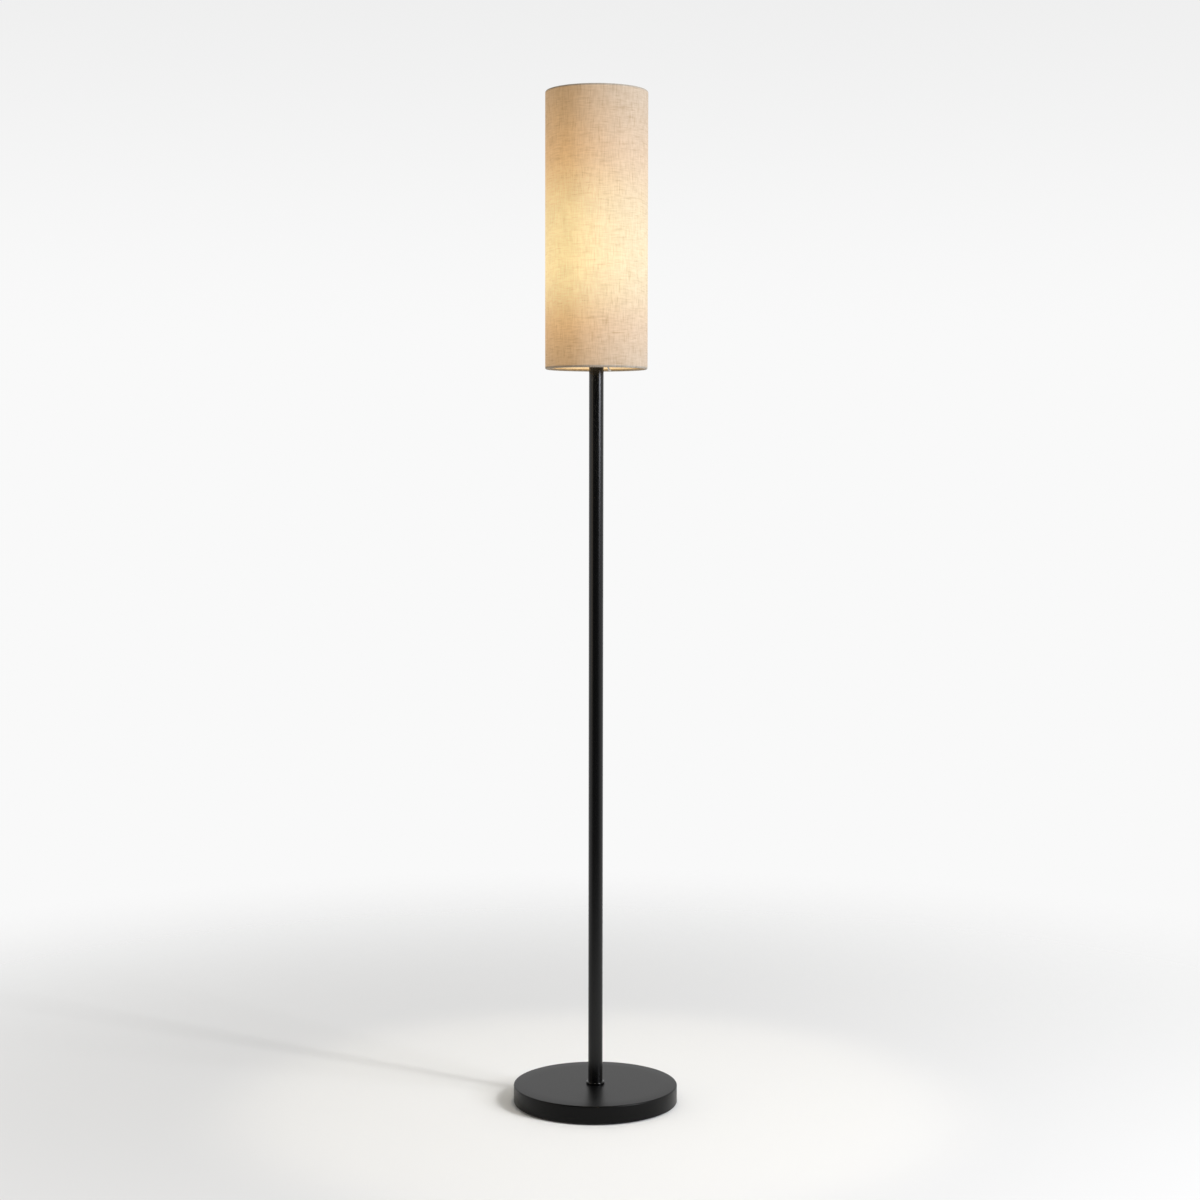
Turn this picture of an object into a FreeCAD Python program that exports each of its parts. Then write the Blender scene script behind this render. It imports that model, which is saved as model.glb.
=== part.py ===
import FreeCAD, Part
import math
import os

# A column floor lamp: a round weighted base, a straight steel pole and a tall, slim linen shade
# that hangs round a switched lampholder and its bulb. Millimetres, +Z up. The origin is on the
# floor below the pole, the front of the lamp faces -Y, and the cord inlet is at the back, +Y.

Vector = FreeCAD.Vector
UP = Vector(0, 0, 1)
BACK = Vector(0, 1, 0)
FRONT = Vector(0, -1, 0)

# --- Overall sizes ---------------------------------------------------------------------------
lamp_height = 1531.0
base_diameter = 250.0
base_height = 28.5
pole_diameter = 22.0
shade_diameter = 154.0
shade_height = 413.0
fitter_rise = 108.0          # from the shade's lower edge up to the seat of its fitter

# --- Clearances ------------------------------------------------------------------------------
fit_gap = 0.05               # radial, fixed pieces that fit in each other
run_gap = 0.08               # radial, a shaft in its bearing
seat_gap = 0.1               # under a piece that turns or lifts on a flat face
free_gap = 0.3               # between round pieces that move past each other
loose_gap = 0.5              # round a large piece dropped into a pressed shell

# --- Base ------------------------------------------------------------------------------------
cover_wall = 1.2
cover_edge_radius = 2.0
weight_thickness = 12.0
weight_edge_chamfer = 1.5
plate_thickness = 1.5
pad_height = 2.0
pad_diameter = 20.0
pad_count = 5
pad_inset = 16.0             # from the edge of the base to the pads' centres
boss_diameter = 12.0
boss_count = 3
boss_inset = 45.0            # from the edge of the base to the bosses' centres
plate_screw_diameter = 4.0
plate_screw_head = 7.5
plate_screw_length = 9.0
nut_recess_diameter = 42.0
nut_recess_depth = 6.0
collar_wall = 3.0
collar_height = 4.0
collar_round = 1.6

# --- Threaded tube and its nuts, at the foot and at the head of the pole -----------------------
nipple_diameter = 10.0
nipple_bore = 7.0
nipple_engagement = 18.0     # length of tube held in each bush
nut_height = 5.0
nut_across_flats = 17.0
washer_diameter = 32.0
washer_thickness = 1.5
spring_washer_diameter = 18.0
spring_washer_thickness = 1.0
nipple_end_gap = 0.5         # tube standing out of the nut

# --- Pole ------------------------------------------------------------------------------------
pole_wall = 1.2
bush_length = 24.0
bush_flange = 2.0

# --- Cord inlet at the back of the base --------------------------------------------------------
inlet_bore = 6.6
inlet_barrel = 10.0
inlet_flange_diameter = 14.0
inlet_flange = 2.5
inlet_reach = 10.0           # barrel inside the cover's outer face
inlet_lip = 0.8
inlet_nut_height = 3.0
inlet_nut_across_flats = 13.0
inlet_side_gap = 3.0         # room beside and behind the nut in the weight's notch

# --- Terminal block and the two wires --------------------------------------------------------
block_width = 20.0
block_depth = 17.0
block_height = 10.0
block_radius = 62.0          # from the pole's axis to the block
way_spacing = 9.0
barrel_diameter = 4.4
barrel_bore = 2.8
barrel_length = 13.0
block_screw_diameter = 3.0
block_screw_head = 5.6
block_screw_head_height = 1.8
block_screw_length = 14.0
way_screw_diameter = 2.6
wire_diameter = 2.4
wire_grip = 3.0              # length of each wire held in its terminal
wire_lift = 2.8              # axis of the wires above the base plate
wire_bend = 7.0              # radius where the wires turn up into the pole
wire_spread_bend = 4.0       # radius where they part above the threaded tube
wire_spread_rise = 4.8       # from the tube's end to where they part
wire_settle = 8.5            # straight run of each wire in front of the block

# --- Bulb: round LED lamp with a screw cap -----------------------------------------------------
bulb_diameter = 60.0
bulb_length = 108.0
bulb_cap_diameter = 26.2
bulb_cap_wall = 0.3
bulb_cap_top = 27.0          # every bulb height here is above its contact
bulb_thread_foot = 7.0
bulb_contact_diameter = 9.5
bulb_tip_diameter = 6.6
bulb_contact_height = 2.0
bulb_neck_diameter = 28.6
bulb_neck_top = 31.0
bulb_rim_height = 60.0       # joint of the housing and the globe
bulb_plug_foot = 20.0
globe_wall = 1.2
housing_wall = 1.6
board_thickness = 1.6
chip_count = 10
chip_size = 3.0
chip_height = 0.8
chip_circle = 26.0
driver_width = 18.0
driver_height = 24.0
capacitor_diameter = 7.0
capacitor_height = 11.0

# --- Lampholder ------------------------------------------------------------------------------
contact_depth = 26.0         # bulb's contact below the lampholder's rim
skirt_thread_height = 16.0
skirt_flange_width = 5.0
skirt_flange = 3.0
skirt_collar_height = 9.0
skirt_lip = 1.5
cap_height = 36.0
cap_floor = 6.0
cap_foot_diameter = 26.0
cap_dome_height = 14.0
cap_dome_share = 0.4         # of the dome's height, where its side is measured
cap_dome_fullness = 0.72     # of the dome's width that is reached there
cap_neck_wall = 1.4
collar_skin = 1.8
shell_wall = 0.4
shell_flange_width = 4.0
core_cup_gap = 0.8           # between the screw shell and the core's cup
core_cup_wall = 2.6
core_rise = 21.0             # core's underside above the cap's underside
core_rim = 1.5
core_seat_depth = 2.8        # core's floor below the bulb's contact
contact_width = 6.0
contact_thickness = 0.4
contact_foot = 7.0
rivet_diameter = 2.0
rivet_head_diameter = 3.4
rivet_head_height = 0.6
rivet_grip = 4.0
terminal_offset = 9.0        # wires' terminals each side of the axis
terminal_size = 5.0
terminal_height = 7.0
terminal_screw_diameter = 2.6
terminal_screw_length = 5.0
lock_screw_diameter = 3.0
lock_screw_rise = 3.0

# --- Rotary switch in the side of the lampholder -----------------------------------------------
switch_rise = 28.0           # shaft's axis above the cap's underside
shaft_diameter = 6.0
shaft_flat = 1.0             # depth of the flat that drives the knob
drum_diameter = 10.0
drum_length = 11.0
rear_pin_diameter = 4.0
rear_pin_length = 3.0
leaf_thickness = 0.4
leaf_width = 6.0
knob_diameter = 13.0
knob_length = 13.0
knob_gap = 1.2
knob_chamfer = 0.8
knob_flutes = 12
knob_flute_diameter = 1.6
knob_depth = 10.0            # shaft inside the knob

# --- Clamp ring that holds the shade's fitter --------------------------------------------------
clamp_wall = 2.4
clamp_height = 9.0
clamp_flange = 2.0
clamp_flange_width = 4.6
clamp_notches = 12
clamp_notch_diameter = 3.0
clamp_notch_depth = 1.0

# --- Shade -----------------------------------------------------------------------------------
linen_thickness = 0.5
glue_line = 0.1
liner_thickness = 0.3
rim_wire_diameter = 3.0
hem_sides = 8                # flats of the fold that wraps round the rim wire
seam_overlap = 12.0
fitter_thickness = 1.5
fitter_bore_gap = 1.0        # round the lampholder's thread
fitter_width = 10.0
arm_diameter = 3.0
arm_count = 3
arm_angle = 73.0             # first arm, anticlockwise from +X
arm_inset = 17.0             # upright of each arm inside the shade's outer face
arm_bend = 9.0
arm_weld_overlap = 4.5
hem_slot_gap = 0.3

# --- Places worked out from the sizes above ----------------------------------------------------
base_radius = base_diameter / 2
cover_inner = base_radius - cover_wall
cover_top_under = base_height - cover_wall
weight_under = cover_top_under - weight_thickness
plate_under = pad_height
plate_top = plate_under + plate_thickness
fill_radius = cover_inner - loose_gap
nut_ceiling = weight_under + nut_recess_depth
spring_washer_top = nut_ceiling - washer_thickness
nut_top = spring_washer_top - spring_washer_thickness
nut_under = nut_top - nut_height
nipple_foot = nut_under - nipple_end_gap
nipple_radius = nipple_diameter / 2
nipple_hole = nipple_radius + fit_gap
pad_circle = base_radius - pad_inset
boss_circle = base_radius - boss_inset
inlet_height = (plate_top + weight_under) / 2 + inlet_lip
block_middle = weight_under - block_height / 2

pole_radius = pole_diameter / 2
pole_inner = pole_radius - pole_wall
bush_radius = pole_inner - fit_gap

shade_radius = shade_diameter / 2
shade_bottom = lamp_height - shade_height
fitter_seat = shade_bottom + fitter_rise
skirt_foot = fitter_seat - skirt_flange - skirt_collar_height
skirt_top = fitter_seat + skirt_thread_height
contact_level = skirt_top - contact_depth
bulb_foot = contact_level + free_gap
cap_foot = skirt_foot - cap_height
pole_top = cap_foot - bush_flange

bulb_cap_radius = bulb_cap_diameter / 2
shell_inner = bulb_cap_radius + free_gap
shell_outer = shell_inner + shell_wall
cup_inner = shell_outer + core_cup_gap
core_radius = cup_inner + core_cup_wall
cap_inner = core_radius + free_gap
cap_neck_outer = cap_inner + cap_neck_wall
skirt_inner = cap_neck_outer + free_gap
holder_radius = skirt_inner + collar_skin
thread_radius = core_radius + fit_gap + core_cup_wall
flange_radius = holder_radius + skirt_flange_width
core_foot = cap_foot + core_rise
core_floor = contact_level - core_seat_depth
core_rim_foot = skirt_foot + skirt_collar_height
core_top = core_rim_foot + core_rim
shell_top = skirt_top - skirt_lip - seat_gap
holder_nipple_top = cap_foot + cap_floor + nipple_end_gap

switch_height = cap_foot + switch_rise
shaft_radius = shaft_diameter / 2
drum_radius = drum_diameter / 2
knob_face = holder_radius + knob_gap

clamp_inner = thread_radius + free_gap
clamp_outer = clamp_inner + clamp_wall
clamp_edge = clamp_outer + clamp_flange_width - clamp_wall
fitter_foot = fitter_seat + seat_gap
fitter_top = fitter_foot + fitter_thickness
fitter_inner = thread_radius + fitter_bore_gap
fitter_outer = fitter_inner + fitter_width

wire_radius = rim_wire_diameter / 2
linen_inner = shade_radius - linen_thickness
hem_inner = wire_radius + glue_line
hem_outer = hem_inner + linen_thickness
rim_circle = linen_inner - hem_inner
low_rim_height = shade_bottom + hem_outer
high_rim_height = lamp_height - hem_outer
liner_outer = linen_inner - glue_line
liner_inner = liner_outer - liner_thickness
liner_margin = 2 * hem_outer + glue_line
arm_radius = arm_diameter / 2
arm_upright = shade_radius - arm_inset
arm_level = fitter_top + arm_radius

node_shapes = {}


# --- Shape helpers ---------------------------------------------------------------------------
def place(angle, radius, height=0.0):
    """A point at an angle in degrees from +X, a radius and a height."""
    turn = math.radians(angle)
    return Vector(radius * math.cos(turn), radius * math.sin(turn), height)


def rod(radius, foot, top, centre=Vector(0, 0, 0)):
    """A solid upright cylinder between two heights."""
    return Part.makeCylinder(radius, top - foot, centre + Vector(0, 0, foot), UP)


def tube(outer, inner, foot, top, centre=Vector(0, 0, 0)):
    """A hollow upright cylinder between two heights."""
    return rod(outer, foot, top, centre).cut(rod(inner, foot, top, centre))


def box(width, depth, height, centre):
    """A block round its centre point."""
    corner = centre - Vector(width / 2, depth / 2, height / 2)
    return Part.makeBox(width, depth, height, corner)


def turned(edges):
    """The solid that a closed outline of (radius, height) edges sweeps round the lamp's axis."""
    face = Part.Face(Part.Wire(edges))
    return face.revolve(Vector(0, 0, 0), UP, 360)


def at(radius, height):
    """A point of a turned outline, in the XZ plane."""
    return Vector(radius, 0, height)


def outline(*points):
    """The edges of a closed outline through (radius, height) points.

    An item that is a pair of points, (middle, end), is reached by an arc instead of a line.
    """
    edges = []
    last = at(*points[0])
    for item in points[1:] + (points[0],):
        if isinstance(item[0], tuple):
            end = at(*item[1])
            edges.append(Part.Arc(last, at(*item[0]), end).toShape())
        else:
            end = at(*item)
            edges.append(Part.LineSegment(last, end).toShape())
        last = end
    return edges


def corner_middle(centre, radius, degrees):
    """The point of an arc round a centre, for the middle of an outline's arc."""
    turn = math.radians(degrees)
    return (centre[0] + radius * math.cos(turn), centre[1] + radius * math.sin(turn))


def hexagon(across_flats, foot, top):
    """A hexagonal prism on the lamp's axis."""
    reach = across_flats / math.sqrt(3)
    corners = [place(60 * side, reach, foot) for side in range(7)]
    return Part.Face(Part.makePolygon(corners)).extrude(Vector(0, 0, top - foot))


def bent_rod(points, bends, radius):
    """A round rod along straight runs, with an arc of the given radius at each inner point."""
    edges = []
    last = points[0]
    for before, corner, after, bend in zip(points, points[1:], points[2:], bends):
        towards = (before - corner).normalize()
        away = (after - corner).normalize()
        half_turn = (math.pi - towards.getAngle(away)) / 2
        reach = bend * math.tan(half_turn)
        start = corner + towards * reach
        end = corner + away * reach
        inward = (towards + away).normalize()
        middle = corner + inward * (bend / math.cos(half_turn) - bend)
        edges.append(Part.LineSegment(last, start).toShape())
        edges.append(Part.Arc(start, middle, end).toShape())
        last = end
    edges.append(Part.LineSegment(last, points[-1]).toShape())
    path = Part.Wire(edges)
    section = Part.Wire(Part.makeCircle(radius, points[0], points[1] - points[0]))
    return path.makePipeShell([section], True, False)


def around(shape, count, first_angle=0.0):
    """Copies of a shape, evenly turned round the lamp's axis."""
    copies = []
    for number in range(count):
        copy = shape.copy()
        copy.rotate(Vector(0, 0, 0), UP, first_angle + number * 360 / count)
        copies.append(copy)
    return copies


def facing(shape, direction, origin):
    """A shape made upright at the origin, laid so that its +Z points along a direction."""
    turned_shape = shape.copy()
    turned_shape.Placement = FreeCAD.Placement(origin, FreeCAD.Rotation(UP, direction))
    return turned_shape


def keep(name, *solids):
    """Stores a node, as one solid or as a group of separate ones."""
    node_shapes[name] = solids[0] if len(solids) == 1 else Part.makeCompound(list(solids))


# --- Base ------------------------------------------------------------------------------------
def make_base_cover():
    """Deep-drawn steel pan, open below, with the pole's hole and the cord inlet's hole."""
    bend = cover_edge_radius
    inner_bend = cover_edge_radius - cover_wall
    outer_centre = (base_radius - bend, base_height - bend)
    pan = turned(
        outline(
            (nipple_hole, base_height),
            (nipple_hole, cover_top_under),
            (cover_inner - inner_bend, cover_top_under),
            (corner_middle(outer_centre, inner_bend, 45), (cover_inner, base_height - bend)),
            (cover_inner, plate_under),
            (base_radius, plate_under),
            (base_radius, base_height - bend),
            (corner_middle(outer_centre, bend, 45), (base_radius - bend, base_height)),
        )
    )
    hole = Part.makeCylinder(
        inlet_barrel / 2 + fit_gap,
        inlet_reach + inlet_flange,
        Vector(0, base_radius - inlet_reach, inlet_height),
        BACK,
    )
    keep("base_cover", pan.cut(hole))


def make_base_weight():
    """Cast-iron disc under the cover, with bosses for the bottom plate and room for the inlet."""
    edge = fill_radius - weight_edge_chamfer
    disc = turned(
        outline(
            (nipple_hole, cover_top_under),
            (nipple_hole, nut_ceiling),
            (nut_recess_diameter / 2, nut_ceiling),
            (nut_recess_diameter / 2, weight_under),
            (fill_radius, weight_under),
            (fill_radius, cover_top_under - weight_edge_chamfer),
            (edge, cover_top_under),
        )
    )
    boss = rod(boss_diameter / 2, plate_top, weight_under, place(0, boss_circle))
    screw_hole = rod(
        plate_screw_diameter / 2 + fit_gap,
        plate_under,
        plate_under + plate_screw_length + seat_gap,
        place(0, boss_circle),
    )
    notch_width = 2 * (inlet_nut_across_flats / math.sqrt(3) + inlet_side_gap)
    notch_depth = base_radius - fill_radius + inlet_reach + inlet_side_gap
    notch = box(
        notch_width,
        2 * notch_depth,
        2 * weight_thickness,
        Vector(0, base_radius, weight_under),
    )
    block_hole = rod(
        block_screw_diameter / 2 + fit_gap,
        weight_under,
        block_screw_top() + seat_gap,
        Vector(0, block_radius, 0),
    )
    disc = disc.fuse(around(boss, boss_count, boss_first_angle()))
    disc = disc.cut(around(screw_hole, boss_count, boss_first_angle()))
    keep("base_weight", disc.cut([notch, block_hole]))


def boss_first_angle():
    """The bosses stand clear of the channel between the inlet and the pole."""
    return 90 + 180 / boss_count


def block_screw_top():
    """Height of the tip of the screw that holds the terminal block up."""
    return weight_under - block_height + block_screw_head_height + block_screw_length


def make_base_plate():
    """Flat steel disc that closes the base, countersunk for its screws."""
    plate = rod(fill_radius, plate_under, plate_top)
    sink = make_plate_screw(fit_gap)
    keep("base_plate", plate.cut(around(sink, boss_count, boss_first_angle())))


def make_plate_screw(gap):
    """One countersunk screw, head down, on the bosses' circle. A gap makes its hole."""
    head = plate_screw_head / 2 + gap
    shank = plate_screw_diameter / 2 + gap
    screw = turned(
        outline(
            (0, plate_under),
            (head, plate_under),
            (shank, plate_top),
            (shank, plate_under + plate_screw_length),
            (0, plate_under + plate_screw_length),
        )
    )
    screw.translate(place(0, boss_circle))
    return screw


def make_base_plate_fixings():
    """The plate's screws and the rubber pads that the lamp stands on."""
    keep("plate_screws", *around(make_plate_screw(0), boss_count, boss_first_angle()))
    pad = rod(pad_diameter / 2, 0, pad_height, place(0, pad_circle))
    keep("foot_pads", *around(pad, pad_count, 90))


def make_foot_collar():
    """Thin turned ring that trims the foot of the pole."""
    outer = pole_radius + collar_wall
    top = base_height + collar_height
    centre = (outer - collar_round, top - collar_round)
    ring = turned(
        outline(
            (pole_radius + fit_gap, base_height),
            (outer, base_height),
            (outer, top - collar_round),
            (corner_middle(centre, collar_round, 45), (outer - collar_round, top)),
            (pole_radius + fit_gap, top),
        )
    )
    keep("foot_collar", ring)


def make_base_fixings():
    """Hollow threaded tube, washer, split spring washer and nut that clamp the pole to the base."""
    nipple_top = base_height + nipple_engagement
    keep("base_nipple", tube(nipple_radius, nipple_bore / 2, nipple_foot, nipple_top))
    washer = tube(washer_diameter / 2, nipple_hole, spring_washer_top, nut_ceiling)
    keep("base_washer", washer)
    spring_washer = tube(spring_washer_diameter / 2, nipple_hole, nut_top, spring_washer_top)
    split = box(
        spring_washer_diameter,
        spring_washer_thickness,
        2 * spring_washer_thickness,
        Vector(spring_washer_diameter / 2, 0, nut_top),
    )
    keep("spring_washer", spring_washer.cut(split))
    nut = hexagon(nut_across_flats, nut_under, nut_top)
    keep("base_nut", nut.cut(rod(nipple_hole, nut_under, nut_top)))


# --- Cord inlet and wiring ---------------------------------------------------------------------
def make_cord_inlet():
    """Moulded bush through the cover's wall, held by a thin nut inside; its bore is free."""
    bush = turned(
        outline(
            (inlet_bore / 2, -inlet_reach),
            (inlet_barrel / 2, -inlet_reach),
            (inlet_barrel / 2, 0),
            (inlet_flange_diameter / 2, 0),
            (inlet_flange_diameter / 2, inlet_flange - inlet_lip),
            (inlet_flange_diameter / 2 - inlet_lip, inlet_flange),
            (inlet_bore / 2, inlet_flange),
        )
    )
    mouth = Vector(0, base_radius, inlet_height)
    keep("cord_inlet", facing(bush, BACK, mouth))
    nut_reach = inlet_nut_across_flats / math.sqrt(3)
    nut_seat = base_radius - math.sqrt(cover_inner ** 2 - nut_reach ** 2) + fit_gap
    nut = hexagon(inlet_nut_across_flats, -nut_seat - inlet_nut_height, -nut_seat)
    nut = nut.cut(rod(inlet_barrel / 2 + fit_gap, -inlet_reach, 0))
    keep("inlet_nut", facing(nut, BACK, mouth))


def make_terminal_block():
    """Two-way screw terminal under the weight, where the cord's wires meet the lamp's own."""
    middle = Vector(0, block_radius, block_middle)
    under = weight_under - block_height
    body = box(block_width, block_depth, block_height, middle)
    body = body.cut(rod(block_screw_diameter / 2 + fit_gap, under, weight_under, middle_of_block()))
    head_room = rod(
        block_screw_head / 2 + fit_gap,
        under,
        under + block_screw_head_height,
        middle_of_block(),
    )
    body = body.cut(head_room)
    barrels = []
    screws = []
    for side in (-1, 1):
        way = Vector(side * way_spacing / 2, block_radius, block_middle)
        start = way - BACK * (barrel_length / 2)
        passage = Part.makeCylinder(
            barrel_diameter / 2 + fit_gap, block_depth, way - BACK * (block_depth / 2), BACK
        )
        outer = Part.makeCylinder(barrel_diameter / 2, barrel_length, start, BACK)
        bore = Part.makeCylinder(barrel_bore / 2, barrel_length, start, BACK)
        screw_place = Vector(way.x, block_radius, 0)
        screw_hole = rod(way_screw_diameter / 2 + fit_gap, under, block_middle, screw_place)
        body = body.cut([passage, screw_hole])
        barrels.append(outer.cut([bore, screw_hole]))
        screw_tip = block_middle - barrel_bore / 2
        screws.append(rod(way_screw_diameter / 2, under, screw_tip, screw_place))
    keep("terminal_block", body)
    keep("terminal_barrels", *barrels)
    keep("terminal_block_screws", *screws)
    fixing = rod(
        block_screw_diameter / 2, under + block_screw_head_height, block_screw_top(), middle_of_block()
    )
    head = rod(
        block_screw_head / 2, under, under + block_screw_head_height, middle_of_block()
    )
    keep("block_fixing_screw", fixing.fuse(head))


def middle_of_block():
    """Ground point of the terminal block's upright axis."""
    return Vector(0, block_radius, 0)


def make_wires():
    """Live and neutral wires, from the terminal block up the pole to the lampholder's terminals."""
    radius = wire_diameter / 2
    beside = radius + fit_gap
    run_height = plate_top + wire_lift
    entry = block_radius - barrel_length / 2
    settle = entry - wire_settle
    turn_in = nut_recess_diameter / 2
    spread_height = holder_nipple_top + wire_spread_rise
    for name, side in (("live_wire", -1), ("neutral_wire", 1)):
        points = [
            Vector(side * way_spacing / 2, entry + wire_grip, block_middle),
            Vector(side * way_spacing / 2, settle, block_middle),
            Vector(side * beside, turn_in, run_height),
            Vector(side * beside, 0, run_height),
            Vector(side * beside, 0, spread_height),
            Vector(side * terminal_offset, 0, core_foot - wire_diameter),
            Vector(side * terminal_offset, 0, core_foot + wire_grip),
        ]
        bends = [wire_bend, wire_bend, wire_bend, wire_spread_bend, wire_spread_bend]
        keep(name, bent_rod(points, bends, radius))


# --- Pole ------------------------------------------------------------------------------------
def make_pole():
    """One steel tube with a threaded bush pressed into each end; the upper one has a flange."""
    keep("pole_tube", tube(pole_radius, pole_inner, base_height, pole_top))
    foot_top = base_height + bush_length
    keep("pole_foot_bush", tube(bush_radius, nipple_hole, base_height, foot_top))
    plug = tube(bush_radius, nipple_hole, pole_top - bush_length, pole_top)
    flange = tube(pole_radius, nipple_hole, pole_top, pole_top + bush_flange)
    keep("pole_top_bush", plug.fuse(flange).removeSplitter())
    nipple_low = pole_top + bush_flange - nipple_engagement
    keep("holder_nipple", tube(nipple_radius, nipple_bore / 2, nipple_low, holder_nipple_top))


# --- Lampholder ------------------------------------------------------------------------------
def make_holder_cap():
    """Domed lower half of the lampholder, screwed on the threaded tube, slotted for the switch."""
    foot = cap_foot_diameter / 2
    dome_side = (
        foot + (holder_radius - foot) * cap_dome_fullness,
        cap_foot + cap_dome_height * cap_dome_share,
    )
    floor = cap_foot + cap_floor
    inside_wall = cap_foot + cap_dome_height
    shell = turned(
        outline(
            (nipple_hole, cap_foot),
            (foot, cap_foot),
            (dome_side, (holder_radius, inside_wall)),
            (holder_radius, skirt_foot),
            (cap_neck_outer, skirt_foot),
            (cap_neck_outer, core_rim_foot),
            (cap_inner, core_rim_foot),
            (cap_inner, inside_wall),
            (foot, floor),
            (nipple_hole, floor),
        )
    )
    slot_radius = shaft_radius + run_gap
    slot_foot = Part.makeCylinder(
        slot_radius, 2 * holder_radius, Vector(0, 0, switch_height), FRONT
    )
    slot = box(
        2 * slot_radius,
        2 * holder_radius,
        core_rim_foot - switch_height,
        Vector(0, -holder_radius, (core_rim_foot + switch_height) / 2),
    )
    lock_hole = Part.makeCylinder(
        lock_screw_diameter / 2 + fit_gap,
        holder_radius,
        Vector(0, 0, cap_foot + lock_screw_rise),
        BACK,
    )
    keep("holder_cap", shell.cut([slot_foot, slot, lock_hole]))
    screw_start = nipple_radius + fit_gap
    screw_length = foot - screw_start
    lock_screw = Part.makeCylinder(
        lock_screw_diameter / 2,
        screw_length,
        Vector(0, screw_start, cap_foot + lock_screw_rise),
        BACK,
    )
    keep("cap_lock_screw", lock_screw)


def make_holder_core():
    """Insulating core that carries the contacts, the terminals and the switch."""
    body = turned(
        outline(
            (0, core_foot),
            (core_radius, core_foot),
            (core_radius, core_rim_foot),
            (cap_neck_outer, core_rim_foot),
            (cap_neck_outer, core_top),
            (cup_inner, core_top),
            (cup_inner, core_floor),
            (0, core_floor),
        )
    )
    chamber_half = drum_radius + free_gap + leaf_thickness + fit_gap
    chamber_back = drum_length / 2 + free_gap
    chamber_top = switch_height + drum_radius + free_gap
    chamber = box(
        2 * chamber_half,
        core_radius + chamber_back,
        2 * (chamber_top - core_foot),
        Vector(0, (chamber_back - core_radius) / 2, core_foot),
    )
    rear_bearing = Part.makeCylinder(
        rear_pin_diameter / 2 + run_gap,
        chamber_back + rear_pin_length + free_gap,
        Vector(0, 0, switch_height),
        BACK,
    )
    cuts = [chamber, rear_bearing]
    for side in (-1, 1):
        middle = Vector(side * terminal_middle(), 0, core_foot)
        room = terminal_size + 2 * fit_gap
        cuts.append(box(room, room, 2 * (terminal_height + fit_gap), middle))
    cuts.extend(rivet_holes())
    keep("holder_core", body.cut(cuts))


def terminal_middle():
    """Distance of each terminal from the axis, clear of the switch's chamber."""
    chamber_half = drum_radius + free_gap + leaf_thickness + fit_gap
    return max(terminal_offset, chamber_half + terminal_size / 2 + loose_gap)


def rivet_places():
    """The shell's two rivets lie left and right, over the terminals; the contact's lies behind."""
    shell_rivet = shell_inner - shell_flange_width / 2
    return [Vector(-shell_rivet, 0, 0), Vector(shell_rivet, 0, 0), Vector(0, contact_foot, 0)]


def rivet_holes():
    """Holes for the rivets in the core's floor."""
    radius = rivet_diameter / 2 + fit_gap
    return [rod(radius, core_floor - rivet_grip, core_floor, spot) for spot in rivet_places()]


def make_holder_contacts():
    """Brass screw shell, sprung centre contact, rivets, and the terminals with their screws."""
    shell = turned(
        outline(
            (shell_inner - shell_flange_width, core_floor),
            (shell_outer, core_floor),
            (shell_outer, shell_top),
            (shell_inner, shell_top),
            (shell_inner, core_floor + shell_wall),
            (shell_inner - shell_flange_width, core_floor + shell_wall),
        )
    )
    holes = [rod(rivet_diameter / 2 + fit_gap, core_floor, core_top, p) for p in rivet_places()]
    keep("screw_shell", shell.cut(holes))
    keep("centre_contact", make_centre_contact().cut(holes))
    rivets = []
    seats = (shell_wall, shell_wall, contact_thickness)
    for spot, under_head in zip(rivet_places(), seats):
        head_foot = core_floor + under_head
        shank = rod(rivet_diameter / 2, core_floor - rivet_grip, head_foot, spot)
        head = rod(rivet_head_diameter / 2, head_foot, head_foot + rivet_head_height, spot)
        rivets.append(shank.fuse(head).removeSplitter())
    keep("contact_rivets", *rivets)
    terminals = []
    screws = []
    for side in (-1, 1):
        middle = Vector(side * terminal_middle(), 0, core_foot + terminal_height / 2)
        block = box(terminal_size, terminal_size, terminal_height, middle)
        bore = rod(
            wire_diameter / 2 + fit_gap,
            core_foot,
            core_foot + wire_grip + fit_gap,
            Vector(side * terminal_offset, 0, 0),
        )
        screw_height = core_foot + terminal_height - terminal_screw_diameter
        screw_start = Vector(middle.x, -terminal_size / 2, screw_height)
        screw = Part.makeCylinder(
            terminal_screw_diameter / 2, terminal_screw_length / 2, screw_start, BACK
        )
        hole = Part.makeCylinder(
            terminal_screw_diameter / 2 + fit_gap, terminal_screw_length / 2, screw_start, BACK
        )
        terminals.append(block.cut([bore, hole]))
        screws.append(screw)
    keep("holder_terminals", *terminals)
    keep("holder_terminal_screws", *screws)


def make_centre_contact():
    """Springy strip: a foot under its rivet and a tongue that rises to meet the bulb."""
    thick = contact_thickness
    foot_end = contact_foot + rivet_head_diameter / 2
    foot_start = contact_foot - rivet_head_diameter
    low = core_floor
    high = contact_level
    points = [
        Vector(0, foot_end, low),
        Vector(0, foot_start, low),
        Vector(0, contact_width / 4, high - thick),
        Vector(0, -contact_width / 2, high - thick),
        Vector(0, -contact_width / 2, high),
        Vector(0, contact_width / 4, high),
        Vector(0, foot_start, low + thick),
        Vector(0, foot_end, low + thick),
        Vector(0, foot_end, low),
    ]
    strip = Part.Face(Part.makePolygon(points)).extrude(Vector(contact_width, 0, 0))
    strip.translate(Vector(-contact_width / 2, 0, 0))
    return strip


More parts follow.
